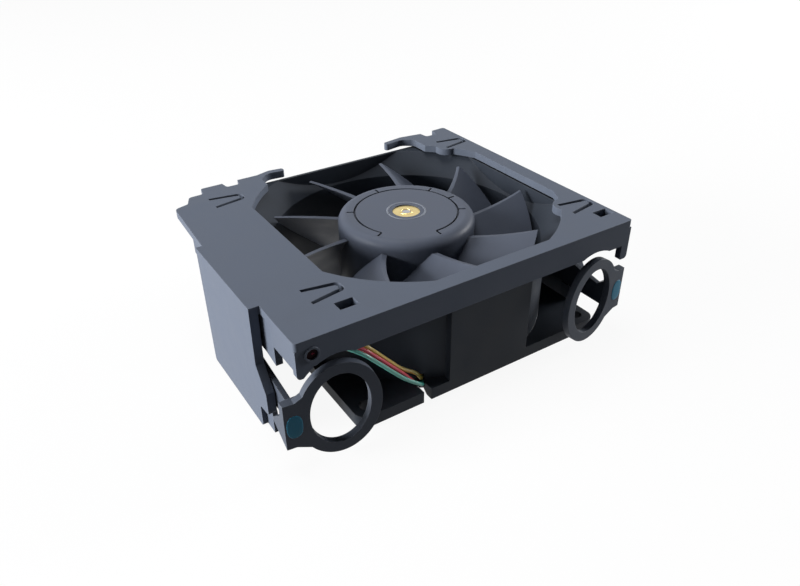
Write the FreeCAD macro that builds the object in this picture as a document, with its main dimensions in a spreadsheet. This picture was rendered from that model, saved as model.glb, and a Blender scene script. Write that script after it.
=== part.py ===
import FreeCAD, Part
import math
import os
import re
import Sketcher

# Hot-plug server fan module: a 92 mm axial fan held in a moulded carrier with two finger-ring latches.
# Frame: origin on the fan's axis at its outlet face, +Z up the axis to the inlet, -Y to the finger rings.
# Lengths are millimetres and angles are degrees.

Vector = FreeCAD.Vector

SIZES = (
    # The fan's frame
    ("fan_side", 92.0, "side of the square fan frame"),
    ("fan_depth", 38.0, "depth of the fan frame"),
    ("flange_thick", 4.0, "thickness of the inlet and outlet flanges"),
    ("flange_corner", 3.5, "corner radius of the flanges"),
    ("screw_pitch", 82.5, "spacing of the corner screw holes"),
    ("screw_hole", 4.3, "diameter of the corner screw holes"),
    ("bore_radius", 44.3, "inside radius of the duct"),
    ("duct_wall", 1.7, "wall of the duct"),
    ("rim_wall", 1.1, "rim left beside the flares at the middle of each side"),
    ("inlet_flare", 7.2, "how far the inlet flare widens the bore"),
    ("inlet_flare_depth", 7.0, "depth of the inlet flare"),
    ("outlet_flare", 4.2, "how far the outlet flare widens the bore"),
    ("outlet_flare_depth", 4.0, "depth of the outlet flare"),
    ("pad_width", 30.0, "width of the flat pad at the middle of each side"),
    ("pad_depth", 3.0, "how far a pad reaches into the duct wall"),
    ("strut_width", 3.0, "width of a strut"),
    ("strut_depth", 4.0, "depth of a strut"),
    ("base_radius", 21.5, "radius of the motor base"),
    ("base_floor", 2.4, "floor of the motor base"),
    ("base_rim", 1.3, "wall round the motor base"),
    ("base_depth", 6.0, "height of the motor base"),
    ("boss_radius", 6.2, "radius of the boss round the bearing tube"),
    ("boss_shoulder", 8.5, "radius of the shoulder that the board sits on"),
    ("board_seat", 7.4, "height of that shoulder"),
    ("boss_top", 8.6, "height of the boss"),
    ("channel_width", 2.7, "width of the lead channel"),
    ("channel_wall", 1.2, "wall beside the lead channel"),
    ("channel_depth", 6.1, "height of the lead channel's mouth"),
    ("channel_angle", 241.4, "direction of the lead channel from +X"),
    ("notch_x", -22.9, "middle of the notch in the outlet flange"),
    # The rotor
    ("hub_radius", 22.6, "outside radius of the hub"),
    ("hub_wall", 1.7, "wall of the hub"),
    ("hub_drop", 0.3, "how far the hub's top lies below the inlet face"),
    ("hub_foot", 7.5, "height of the hub's open rim"),
    ("hub_top", 2.2, "thickness of the hub's top"),
    ("hub_shoulder", 3.2, "radius of the hub's shoulder"),
    ("groove_radius", 17.05, "middle radius of the balancing groove"),
    ("groove_width", 0.7, "width of the balancing groove and its notches"),
    ("groove_depth", 0.8, "depth of the balancing groove"),
    ("notch_reach", 2.6, "how far a notch reaches out from the groove"),
    ("blade_count", 9.0, "number of blades"),
    ("blade_turn", -5.2, "angle that the ring of blades is turned by"),
    ("tip_radius", 43.3, "radius over the blade tips"),
    ("root_plane", 19.0, "distance of the root section from the axis"),
    ("mid_plane", 31.0, "distance of the middle section from the axis"),
    ("tip_plane", 45.0, "distance of the tip section from the axis"),
    ("root_lead_y", 8.1, "leading edge of the root section"),
    ("root_lead_z", 33.2, "height of that leading edge"),
    ("root_trail_y", -9.3, "trailing edge of the root section"),
    ("root_trail_z", 7.9, "height of that trailing edge"),
    ("mid_lead_y", 19.4, "leading edge of the middle section"),
    ("mid_lead_z", 35.6, "height of that leading edge"),
    ("mid_trail_y", -10.1, "trailing edge of the middle section"),
    ("mid_trail_z", 8.4, "height of that trailing edge"),
    ("tip_lead_y", 40.7, "leading edge of the tip section"),
    ("tip_lead_z", 40.2, "height of that leading edge"),
    ("tip_trail_y", -6.2, "trailing edge of the tip section"),
    ("tip_trail_z", 9.4, "height of that trailing edge"),
    ("root_blade", 2.3, "thickness of the root section along its travel"),
    ("tip_blade", 1.4, "thickness of the tip section along its travel"),
    ("blade_camber", 2.2, "how far a blade bows from its chord"),
    ("shaft_radius", 1.5, "radius of the shaft"),
    ("shaft_foot", 2.8, "height of the shaft's lower end"),
    ("bush_radius", 4.6, "radius of the brass bush"),
    ("bush_foot", 30.0, "height of the bush's lower end"),
    ("bush_drop", 0.35, "how far the bush lies below the hub's top"),
    ("yoke_fit", 0.05, "gap between the yoke and the hub"),
    ("yoke_wall", 1.0, "wall of the steel yoke"),
    ("yoke_foot", 10.0, "height of the yoke's open rim"),
    ("magnet_fit", 0.05, "gap between the magnet and the yoke"),
    ("magnet_wall", 2.3, "thickness of the magnet ring"),
    ("magnet_foot", 12.0, "height of the magnet's lower end"),
    ("magnet_height", 18.0, "length of the magnet ring"),
    # The bearings and the stator
    ("bearing_radius", 4.0, "outside radius of a ball bearing"),
    ("bearing_width", 4.0, "width of a ball bearing"),
    ("running_gap", 0.03, "radial clearance of the shaft in a bearing"),
    ("lower_bearing", 5.0, "height of the lower bearing"),
    ("upper_bearing", 25.0, "height of the upper bearing"),
    ("tube_wall", 0.9, "wall of the brass bearing tube"),
    ("tube_foot", 1.0, "height of the tube's lower end"),
    ("tube_top", 29.2, "height of the tube's upper end"),
    ("press_gap", 0.02, "gap between pieces pressed together"),
    ("clip_width", 0.5, "thickness of the shaft's retaining clip"),
    ("clip_radius", 2.7, "outside radius of the retaining clip"),
    ("clip_groove", 0.3, "depth of the groove that the clip sits in"),
    ("washer_radius", 2.6, "outside radius of the preload washer"),
    ("washer_width", 0.7, "height of the preload washer"),
    ("core_foot", 13.0, "height of the stator stack's lower face"),
    ("core_height", 12.0, "height of the stator stack"),
    ("core_hub", 7.6, "radius of the stack's middle ring"),
    ("core_radius", 16.6, "radius over the stack's poles"),
    ("pole_count", 4.0, "number of poles"),
    ("tooth_width", 3.2, "width of a pole's neck"),
    ("shoe_depth", 1.9, "thickness of a pole's shoe"),
    ("insulator_wall", 0.6, "gap that the insulation takes round a neck"),
    ("coil_thick", 2.4, "thickness of a coil beside its neck"),
    ("coil_start", 8.2, "inner end of a coil"),
    ("coil_end", 13.6, "outer end of a coil"),
    ("board_thick", 1.0, "thickness of the motor board"),
    ("board_radius", 18.5, "radius of the motor board"),
    ("chip_height", 1.3, "height of the board's components"),
    # The carrier
    ("plate_gap", 0.5, "gap between the fan's inlet face and the plate"),
    ("plate_thick", 2.5, "thickness of the carrier's plate"),
    ("wall_thick", 2.5, "thickness of the carrier's outer walls"),
    ("skin_thick", 2.0, "thickness of the apron and skirts"),
    ("bay_width", 19.6, "width of the lead bay beside the fan"),
    ("side_gap", 2.2, "gap between the fan and the right wall"),
    ("plate_inset", 3.0, "how far the plate's front starts inside the left wall's face"),
    ("front_gap", 2.3, "gap between the fan and the apron"),
    ("back_reach", 1.4, "how far the plate reaches behind the fan"),
    ("corner_reach", 2.0, "how far the plate's right corner reaches behind its back edge"),
    ("wing_root_inset", 1.9, "inset of the wing beside the wall"),
    ("wing_tip_inset", 3.2, "inset of the wing at its back corner"),
    ("wing_cut", 10.6, "how far the wing's back corner lies before the plate's back edge"),
    ("wall_setback", 20.1, "how far the outer walls start behind the apron's face"),
    ("wall_length", 38.7, "length of the outer walls"),
    ("toe_reach", 4.4, "how far the wall's toe reaches forward"),
    ("toe_top", 22.6, "top of the wall's toe"),
    ("toe_foot", 8.3, "foot of the wall's toe"),
    ("apron_height", 8.4, "height of the apron"),
    ("lobe_height_left", 11.0, "height of the apron's left lobe"),
    ("lobe_height_right", 13.4, "height of the apron's right lobe"),
    ("skirt_height", 8.8, "height of the side skirts"),
    ("skirt_length", 13.7, "length of the side skirts"),
    ("rib_height", 15.0, "height of the inner ribs"),
    ("rib_inset", 5.5, "how far the inner ribs stand in from the walls' outer faces"),
    ("arch_half_width", 14.5, "half width of the arch over a ring"),
    ("arch_half_height", 17.4, "half height of the arch over a ring"),
    ("opening_step", 5.5, "how much wider the air opening is than the duct"),
    ("land_left", 2.4, "land that covers the fan's left edge"),
    ("land_right", 0.9, "land that covers the fan's right edge"),
    ("land_front", 0.6, "land that covers the fan's front edge"),
    ("land_back", 5.9, "land behind the air opening at the plate's back edge"),
    ("gap_left", -32.0, "left side of the opening's mouth at the back"),
    ("gap_right", 33.2, "right side of the opening's mouth at the back"),
    ("tab_radius", 4.2, "radius of the tabs at the right tongues"),
    ("finger_width", 2.3, "width of the hooked fingers"),
    ("finger_left_tip", -21.9, "tip of the left finger"),
    ("finger_right_tip", 21.5, "tip of the right finger"),
    ("tongue_root", 6.8, "width of a sprung tongue at its root"),
    ("tongue_tip", 3.2, "width of a sprung tongue at its tip"),
    ("tongue_length", 10.0, "length of a sprung tongue"),
    ("tongue_slot", 1.3, "width of the slot round a tongue"),
    ("tongue_left_inset", 14.9, "inset of the left tongues' root"),
    ("tongue_right_inset", 11.7, "inset of the right tongues' root"),
    ("tongue_front_inset", 17.0, "inset of the front tongues' middle"),
    ("tongue_back_inset", 13.2, "inset of the back tongues' middle"),
    ("window_wide", 5.5, "width of the holes over the snap hooks"),
    ("window_deep", 3.6, "depth of the holes over the snap hooks"),
    ("window_inset", 8.6, "inset of the holes over the snap hooks"),
    ("hook_thick", 1.6, "thickness of a snap hook's leg"),
    ("hook_gap", 0.3, "gap between a snap hook and the fan"),
    ("hook_reach", 1.4, "how far a snap hook reaches under the flange"),
    ("hook_lip", 1.1, "thickness of a snap hook's lip"),
    ("hook_inset", 8.4, "inset of the back snap hooks"),
    ("peg_radius", 2.0, "radius of the locating pegs"),
    ("peg_length", 3.6, "how far a peg reaches into the flange"),
    ("peg_pad", 2.65, "radius of the pad round a peg"),
    ("lamp_inset", 4.5, "inset of the status lamp"),
    ("lamp_drop", 4.6, "how far the status lamp lies below the plate's top"),
    ("lamp_radius", 1.5, "radius of the lamp's lens"),
    ("lamp_fit", 0.1, "gap round the lamp's lens"),
    ("lamp_collar", 2.15, "radius of the collar round the lamp"),
    ("lamp_proud", 0.35, "how far the collar stands out"),
    # The latches
    ("latch_inset", 0.9, "how far the latches start behind the apron's face"),
    ("latch_foot", 8.3, "lower edge of the latch blocks"),
    ("latch_top", 22.9, "upper edge of the latch blocks"),
    ("latch_thick", 2.2, "thickness of the latches' ring plates"),
    ("latch_proud", 1.5, "how far the latch blocks stand outside the walls"),
    ("cheek_length", 7.4, "length of a latch's cheek"),
    ("neck_length", 2.4, "length of a cheek's neck"),
    ("cheek_back_foot", 13.5, "lower edge of a cheek at its back end"),
    ("cheek_back_top", 14.5, "upper edge of a cheek at its back end"),
    ("cheek_neck_foot", 18.5, "lower end of a cheek's neck"),
    ("arm_thick", 1.6, "thickness of a latch's arm"),
    ("arm_gap", 0.35, "gap between an arm and the outer wall"),
    ("arm_foot", 9.5, "lower edge of an arm"),
    ("arm_nose", 15.5, "upper edge of an arm behind its block"),
    ("arm_top", 21.0, "upper edge of an arm at its root"),
    ("arm_length", 31.4, "length of a latch's arm with its cheek"),
    ("root_gap", 0.3, "split between an arm and its root"),
    ("root_block", 3.0, "length of the block at an arm's root"),
    ("knuckle_radius", 0.9, "radius of the round knuckle at an arm's root"),
    ("knuckle_fit", 0.05, "gap between a knuckle and its socket"),
    ("ring_reach", 15.4, "distance from a latch's corner to its ring's middle"),
    ("ring_z", 16.5, "height of the rings' middle"),
    ("ring_half_width", 11.85, "half width of a ring"),
    ("ring_half_height", 14.75, "half height of a ring"),
    ("ring_band", 3.3, "width of a ring's band"),
    ("ring_toe", 7.1, "angle that the rings are turned forward"),
    # The plug and the leads
    ("plug_inset", 8.7, "inset of the plug from the left wall's face"),
    ("plug_width", 10.8, "width of the plug"),
    ("plug_setback", 19.4, "how far the plug starts before the plate's back edge"),
    ("plug_length", 14.5, "length of the plug"),
    ("plug_height", 12.5, "height of the plug with its fit"),
    ("plug_gap", 0.2, "gap between the plug and its pocket"),
    ("contact_pitch", 3.2, "spacing of the contacts"),
    ("contact_radius", 0.6, "radius of a contact"),
    ("cavity_side", 2.2, "side of a contact's cavity"),
    ("cavity_depth", 9.0, "depth of a contact's cavity"),
    ("rail_thick", 1.6, "thickness of the plug pocket's rails"),
    ("lead_radius", 0.6, "radius of a fan lead"),
    ("lamp_lead_radius", 0.4, "radius of a lamp lead"),
    ("lead_lane", 0.63, "offset of a lead from the middle of its channel"),
    ("lead_low", 3.05, "height of the lower leads in the channel"),
    ("lead_high", 4.3, "height of the upper leads in the channel"),
)

# Places that follow from the sizes, written as the sheet's formulas
PLACES = (
    ("plate_top", "fan_depth + plate_gap + plate_thick", "height of the carrier's top face"),
    ("carrier_left", "-(fan_side / 2 + bay_width + wall_thick)", "outer face of the left wall"),
    ("carrier_right", "fan_side / 2 + side_gap + wall_thick", "outer face of the right wall"),
    ("plate_left", "carrier_left + plate_inset", "left edge of the plate in front"),
    ("front_y", "-(fan_side / 2 + front_gap + skin_thick)", "front face of the apron"),
    ("back_y", "fan_side / 2 + back_reach", "back edge of the plate"),
    ("right_back_y", "back_y + corner_reach", "back edge of the plate at its right corner"),
    ("wing_root_x", "carrier_left + wing_root_inset", "left edge of the wing beside the wall"),
    ("wing_tip_x", "carrier_left + wing_tip_inset", "left edge of the wing at its back corner"),
    ("wing_tip_y", "back_y - wing_cut", "back corner of the wing"),
    ("wall_front_y", "front_y + wall_setback", "front edge of the outer walls"),
    ("wall_back_y", "wall_front_y + wall_length", "back edge of the outer walls"),
    ("toe_y", "wall_front_y - toe_reach", "front of the wall's toe"),
    ("apron_foot", "plate_top - apron_height", "height of the apron's lower edge"),
    ("lobe_foot_left", "plate_top - lobe_height_left", "height of the left lobe's foot"),
    ("lobe_foot_right", "plate_top - lobe_height_right", "height of the right lobe's foot"),
    ("skirt_foot", "plate_top - skirt_height", "height of the side skirts' lower edge"),
    ("skirt_back_y", "front_y + skirt_length", "back end of the side skirts"),
    ("rib_foot", "plate_top - rib_height", "height of the inner ribs' lower edge"),
    ("opening_radius", "bore_radius + opening_step", "radius of the air opening"),
    ("opening_left", "land_left - fan_side / 2", "flat left side of the air opening"),
    ("opening_right", "fan_side / 2 - land_right", "flat right side of the air opening"),
    ("opening_front", "land_front - fan_side / 2", "flat front side of the air opening"),
    ("tongue_left_x", "carrier_left + tongue_left_inset", "root of the left tongues"),
    ("tongue_right_x", "carrier_right - tongue_right_inset", "root of the right tongues"),
    ("tongue_front_y", "front_y + tongue_front_inset", "middle of the front tongues"),
    ("tongue_back_y", "back_y - tongue_back_inset", "middle of the back tongues"),
    ("window_y", "front_y + window_inset", "middle of the holes over the snap hooks"),
    ("hook_back_y", "back_y - hook_inset", "middle of the back snap hooks"),
    ("lamp_x", "plate_left + lamp_inset", "middle of the status lamp"),
    ("lamp_z", "plate_top - lamp_drop", "height of the status lamp"),
    ("latch_front_y", "front_y + latch_inset", "front corner of the latches"),
    ("cheek_back_y", "latch_front_y + cheek_length", "back end of a latch's cheek"),
    ("cheek_neck_y", "latch_front_y + neck_length", "back of a cheek's neck"),
    ("arm_root_y", "latch_front_y + arm_length", "root of an arm"),
    ("plug_left", "carrier_left + plug_inset", "left side of the plug"),
    ("plug_front_y", "back_y - plug_setback", "front end of the plug"),
    ("plug_foot", "plate_top - plate_thick - plug_height", "height of the plug's lower face"),
    ("opening_back", "back_y - land_back", "back limit of the air opening beside its mouth"),
)

doc = FreeCAD.newDocument("FanModule")
sheet = doc.addObject("Spreadsheet::Sheet", "Sizes")
for row, (alias, value, meaning) in enumerate(SIZES + PLACES, 1):
    sheet.set(f"A{row}", alias)
    sheet.set(f"B{row}", "=" + str(value))
    sheet.setAlias(f"B{row}", alias)
    sheet.set(f"C{row}", meaning)
workings = doc.addObject("Spreadsheet::Sheet", "Workings")
doc.recompute()

ALIAS = re.compile(r"\b(" + "|".join(alias for alias, _, _ in SIZES + PLACES) + r")\b")
SKETCH_TURN = {
    "XY": FreeCAD.Rotation(),
    "XZ": FreeCAD.Rotation(Vector(1, 0, 0), 90),
    "YZ": FreeCAD.Rotation(Vector(1, 1, 1), 120),
}
PLANE_NORMAL = {"XY": Vector(0, 0, 1), "XZ": Vector(0, 1, 0), "YZ": Vector(1, 0, 0)}
NORMAL_NAME = {"XY": "z", "XZ": "y", "YZ": "x"}

PLATE_FOOT = "plate_top - plate_thick"
FLANGE_TOP_FOOT = "fan_depth - flange_thick"
HUB_TOP_Z = "fan_depth - hub_drop"
HALF_SIDE = "fan_side / 2"
HALF_PITCH = "screw_pitch / 2"
MIRROR_X = "(carrier_left + carrier_right) / 2"
LATCH_OUTSIDE = "carrier_left - latch_proud"
LEFT_RING_X = "carrier_left - latch_proud + ring_reach"
RIGHT_RING_X = "carrier_right + latch_proud - ring_reach"
PLUG_X = "plug_left + plug_width / 2"
PLUG_TOP_Z = "plate_top - plate_thick - press_gap"
PLUG_Z = "(plug_foot + plate_top - plate_thick) / 2"
WALL_INSIDE = "carrier_left + wall_thick"
ARM_OUTSIDE = "carrier_left + wall_thick + arm_gap"
ARM_INSIDE = "carrier_left + wall_thick + arm_gap + arm_thick"
ARM_MIDDLE = "carrier_left + wall_thick + arm_gap + arm_thick / 2"

pieces = {}


def bound(expression):
    """Return the expression with each size written as the sheet's cell."""
    return ALIAS.sub(r"Sizes.\1", expression)


def number(expression):
    """Return what an expression comes to, worked out on a sheet of its own."""
    workings.set("A1", "=" + bound(expression))
    workings.recompute()
    return float(workings.get("A1"))


def tie(item, **links):
    """Bind properties of an object to expressions; a double underscore stands for a dot."""
    for name, expression in links.items():
        item.setExpression(name.replace("__", "."), bound(expression))
    return item


def box(name, x, y, z):
    """Make a block from three (low, high) pairs of expressions."""
    block = doc.addObject("Part::Box", name)
    tie(block, Length=f"({x[1]}) - ({x[0]})", Width=f"({y[1]}) - ({y[0]})", Height=f"({z[1]}) - ({z[0]})")
    return tie(block, Placement__Base__x=x[0], Placement__Base__y=y[0], Placement__Base__z=z[0])


def cylinder(name, radius, low, high, x="0", y="0"):
    """Make an upright cylinder."""
    rod = doc.addObject("Part::Cylinder", name)
    tie(rod, Radius=radius, Height=f"({high}) - ({low})")
    return tie(rod, Placement__Base__x=x, Placement__Base__y=y, Placement__Base__z=low)


def cylinder_along_y(name, radius, low, high, x, z):
    """Make a cylinder that lies along Y."""
    rod = doc.addObject("Part::Cylinder", name)
    rod.Placement.Rotation = FreeCAD.Rotation(Vector(1, 0, 0), -90)
    tie(rod, Radius=radius, Height=f"({high}) - ({low})")
    return tie(rod, Placement__Base__x=x, Placement__Base__y=low, Placement__Base__z=z)


def cone(name, low_radius, high_radius, low, high):
    """Make an upright cone on the fan's axis."""
    horn = doc.addObject("Part::Cone", name)
    tie(horn, Radius1=low_radius, Radius2=high_radius, Height=f"({high}) - ({low})")
    return tie(horn, Placement__Base__z=low)


def draw(sketch, corners):
    """Draw a closed outline whose corners are (across, up) or (across, up, rounding)."""
    places = [(number(corner[0]), number(corner[1])) for corner in corners]
    count = len(corners)
    for index, (start, end) in enumerate(zip(places, places[1:] + places[:1])):
        sketch.addGeometry(Part.LineSegment(Vector(*start, 0), Vector(*end, 0)), False)
    for index in range(count):
        sketch.addConstraint(Sketcher.Constraint("Coincident", index, 2, (index + 1) % count, 1))
    for index, corner in enumerate(corners):
        for kind, expression, value in zip("XY", corner, places[index]):
            constraint = sketch.addConstraint(Sketcher.Constraint("Distance" + kind, -1, 1, index, 1, value))
            name_constraint(sketch, constraint, f"at_{kind.lower()}{index}", expression)
    for index, corner in enumerate(corners):
        if len(corner) > 2:
            arc = sketch.GeometryCount
            sketch.fillet((index - 1) % count, 2, number(corner[2]), True, True)
            constraint = sketch.addConstraint(Sketcher.Constraint("Radius", arc, number(corner[2])))
            name_constraint(sketch, constraint, f"round{index}", corner[2])
    return sketch


def name_constraint(sketch, constraint, name, expression):
    """Name a constraint and bind it to an expression."""
    sketch.renameConstraint(constraint, name)
    sketch.setExpression("Constraints." + name, bound(expression))


def outline(name, corners, plane="XY", offset="0"):
    """Draw a closed outline on a plane that stands off the origin."""
    sketch = doc.addObject("Sketcher::SketchObject", name)
    sketch.Placement.Rotation = SKETCH_TURN[plane]
    sketch.setExpression("Placement.Base." + NORMAL_NAME[plane], bound(offset))
    return draw(sketch, corners)


def extruded(name, corners, low, high, plane="XY"):
    """Extrude an outline between two places along its plane's normal."""
    return raised(name, outline(name + "_outline", corners, plane, low), low, high, plane)


def raised(name, base, low, high, plane="XY"):
    """Extrude a drawn base along a plane's normal."""
    solid = doc.addObject("Part::Extrusion", name)
    solid.Base = base
    solid.DirMode = "Custom"
    solid.Dir = PLANE_NORMAL[plane]
    solid.Solid = True
    return tie(solid, LengthFwd=f"({high}) - ({low})")


def turned(name, corners):
    """Turn an outline of (radius, height) corners round the fan's axis."""
    solid = doc.addObject("Part::Revolution", name)
    solid.Source = outline(name + "_outline", corners, "XZ")
    solid.Axis = Vector(0, 0, 1)
    solid.Base = Vector(0, 0, 0)
    solid.Angle = 360
    solid.Solid = True
    return solid


def ring(name, inner, outer, low, high):
    """Turn a plain ring round the fan's axis."""
    return turned(name, [(inner, low), (outer, low), (outer, high), (inner, high)])


def oval_bar(name, half_width, half_height, x, z, low, high):
    """Make a bar along Y whose section is an upright oval."""
    oval = doc.addObject("Part::Ellipse", name + "_oval")
    oval.Placement.Rotation = FreeCAD.Rotation(Vector(1, 1, 1), 240)
    tie(oval, MajorRadius=half_height, MinorRadius=half_width)
    tie(oval, Placement__Base__x=x, Placement__Base__y=low, Placement__Base__z=z)
    return raised(name, oval, low, high, "XZ")


def joined(name, *parts):
    """Fuse parts into one."""
    fused = doc.addObject("Part::MultiFuse", name)
    fused.Shapes = list(parts)
    fused.Refine = True
    return fused


def shared(name, first, second):
    """Keep what two parts share."""
    common = doc.addObject("Part::MultiCommon", name)
    common.Shapes = [first, second]
    return common


def cut_away(name, base, *tools, refine=True):
    """Cut tools out of a base, and merge the faces that the cut leaves in one plane unless told not to."""
    cut = doc.addObject("Part::Cut", name)
    cut.Base = base
    cut.Tool = tools[0] if len(tools) == 1 else joined(name + "_tools", *tools)
    cut.Refine = refine
    return cut


def turned_copy(name, source, angle):
    """Place a copy of a part turned about the fan's axis."""
    copy = doc.addObject("App::Link", name)
    copy.LinkedObject = source
    copy.LinkTransform = True
    copy.Placement = FreeCAD.Placement(Vector(), FreeCAD.Rotation(Vector(0, 0, 1), angle))
    return copy


def piece(item, label):
    """Name a finished piece."""
    item.Label = label
    pieces[label] = item
    return item


def fan_frame():
    """Model the fan's frame: flanges, duct, flares, pads, struts and motor base in one moulding."""
    edge = [(f"{a} * {HALF_SIDE}", f"{b} * {HALF_SIDE}", "flange_corner") for a, b in
            (("-1", "-1"), ("1", "-1"), ("1", "1"), ("-1", "1"))]
    low_flange = extruded("outlet_flange", edge, "0", "flange_thick")
    high_flange = extruded("inlet_flange", edge, FLANGE_TOP_FOOT, "fan_depth")
    duct = cylinder("duct", "bore_radius + duct_wall", "0", "fan_depth")
    half_pad = ("-pad_width / 2", "pad_width / 2")
    sides = (f"-{HALF_SIDE}", f"pad_depth - {HALF_SIDE}"), (f"{HALF_SIDE} - pad_depth", HALF_SIDE)
    height = ("flange_thick / 2", "fan_depth - flange_thick / 2")
    pads = [box(f"pad_y{index}", half_pad, side, height) for index, side in enumerate(sides)]
    pads += [box(f"pad_x{index}", side, half_pad, height) for index, side in enumerate(sides)]
    whole = (f"-{HALF_SIDE}", HALF_SIDE)
    collar = shared(
        "inlet_collar",
        cone("collar_cone", "bore_radius + duct_wall", "bore_radius + duct_wall + inlet_flare",
             "fan_depth - inlet_flare_depth - duct_wall", "fan_depth - duct_wall"),
        box("collar_limit", whole, whole, ("0", "fan_depth - duct_wall")))
    walls = joined("frame_walls", low_flange, high_flange, duct, collar, *pads)

    bore = cylinder("bore", "bore_radius", "-1", "fan_depth + 1")
    rim = (f"rim_wall - {HALF_SIDE}", f"{HALF_SIDE} - rim_wall")
    inlet = shared(
        "inlet_flare_cut",
        cone("inlet_cone", "bore_radius", "bore_radius + inlet_flare",
             "fan_depth - inlet_flare_depth", "fan_depth"),
        box("inlet_limit", rim, rim, ("0", "fan_depth")))
    outlet = shared(
        "outlet_flare_cut",
        cone("outlet_cone", "bore_radius + outlet_flare", "bore_radius", "0", "outlet_flare_depth"),
        box("outlet_limit", rim, rim, ("0", "fan_depth")))
    screws = [cylinder(f"screw_hole_{a}{b}", "screw_hole / 2", "-1", "fan_depth + 1",
                       f"{a}1 * {HALF_PITCH}", f"{b}1 * {HALF_PITCH}") for a in "+-" for b in "+-"]
    shell = cut_away("frame_shell", walls, bore, inlet, outlet, *screws)

    reach = "bore_radius + duct_wall / 2"
    strut = box("strut", ("base_radius - base_rim", reach), ("-strut_width / 2", "strut_width / 2"),
                ("0", "strut_depth"))
    struts = [turned_copy(f"strut_{quarter}", strut, number("channel_angle") + 90 * quarter)
              for quarter in (1, 2, 3)]
    trunk = box("channel_strut", ("base_radius - base_rim", reach),
                ("-channel_width / 2 - channel_wall", "channel_width / 2 + channel_wall"),
                ("0", "channel_depth - channel_wall"))
    trunk = turned_copy("channel_strut_turned", trunk, number("channel_angle"))
    well = "bearing_radius + tube_wall + press_gap"
    base = turned("motor_base", [
        ("0", "0"), ("base_radius", "0"), ("base_radius", "base_depth"),
        ("base_radius - base_rim", "base_depth"), ("base_radius - base_rim", "base_floor"),
        ("boss_shoulder", "base_floor"),
        ("boss_shoulder", "board_seat"), ("boss_radius", "board_seat"), ("boss_radius", "boss_top"),
        (well, "boss_top"), (well, "tube_foot"), ("0", "tube_foot")])
    body = joined("frame_body", shell, base, trunk, *struts)
    channel = box("lead_channel", ("base_radius / 2", "bore_radius + 3 * duct_wall"),
                  ("-channel_width / 2", "channel_width / 2"), ("base_floor", "channel_depth"))
    channel = turned_copy("lead_channel_turned", channel, number("channel_angle"))
    notch = box("lead_notch", ("notch_x - channel_width / 2", "notch_x + channel_width / 2"),
                (f"-{HALF_SIDE} - 1", f"-{HALF_SIDE} + 7"), ("-1", "flange_thick + 1"))
    notched = cut_away("frame_notched", body, notch, refine=False)
    piece(cut_away("frame_finished", notched, channel, refine=False), "fan_frame")


def blade_section(body, name, plane, lead, trail, thick):
    """Draw one blade section across the blade: two bowed sides and two short ends."""
    section = body.newObject("Sketcher::SketchObject", name)
    section.AttachmentSupport = (origin_plane(body, "YZ_Plane"), [""])
    section.MapMode = "FlatFace"
    section.setExpression("AttachmentOffset.Base.z", bound(plane))
    bow_y = f"({lead[0]} + {trail[0]}) / 2 - blade_camber * 0.8"
    bow_z = f"({lead[1]} + {trail[1]}) / 2 + blade_camber * 0.6"
    ends = {}
    for side, sign in (("front", "+"), ("rear", "-")):
        ends[side] = [(f"{y} {sign} {thick} / 2", z) for y, z in (trail, (bow_y, bow_z), lead)]
    for side in ("front", "rear"):
        low, middle, high = [Vector(number(y), number(z), 0) for y, z in ends[side]]
        section.addGeometry(Part.Arc(high, middle, low), False)
    front, rear = ends["front"], ends["rear"]
    section.addGeometry(Part.LineSegment(arc_end(section, 0, True), arc_end(section, 1, True)), False)
    section.addGeometry(Part.LineSegment(arc_end(section, 0, False), arc_end(section, 1, False)), False)
    for line in (2, 3):
        for end, arc in ((1, 0), (2, 1)):
            near = 1 if (line == 2) == starts_low(section, arc) else 2
            section.addConstraint(Sketcher.Constraint("Coincident", line, end, arc, near))
    for line, spot in ((2, 0), (3, 2)):
        for end, side in ((1, front), (2, rear)):
            for kind, expression in zip("XY", side[spot]):
                rule = Sketcher.Constraint("Distance" + kind, -1, 1, line, end, number(expression))
                label = f"{kind.lower()}_{line}_{end}"
                name_constraint(section, section.addConstraint(rule), label, expression)
    for arc, side in ((0, front), (1, rear)):
        point = section.addGeometry(Part.Point(Vector(number(side[1][0]), number(side[1][1]), 0)), True)
        section.addConstraint(Sketcher.Constraint("PointOnObject", point, 1, arc))
        for kind, expression in zip("XY", side[1]):
            rule = Sketcher.Constraint("Distance" + kind, -1, 1, point, 1, number(expression))
            name_constraint(section, section.addConstraint(rule), f"bow_{kind.lower()}_{arc}", expression)
    return section


def starts_low(sketch, arc):
    """Say whether an arc's first end is its lower one."""
    curve = sketch.Geometry[arc]
    return curve.StartPoint.y < curve.EndPoint.y


def arc_end(sketch, arc, low):
    """Return an arc's lower or upper end."""
    curve = sketch.Geometry[arc]
    return curve.StartPoint if starts_low(sketch, arc) == low else curve.EndPoint


def origin_plane(body, role):
    """Return one of a body's own origin planes."""
    return next(item for item in body.Origin.OriginFeatures if item.Role == role)


def body_profile(body, name, corners):
    """Draw an outline of (radius, height) corners in a body."""
    sketch = body.newObject("Sketcher::SketchObject", name)
    sketch.AttachmentSupport = (origin_plane(body, "XZ_Plane"), [""])
    sketch.MapMode = "FlatFace"
    draw(sketch, corners)
    doc.recompute()
    return sketch


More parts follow.
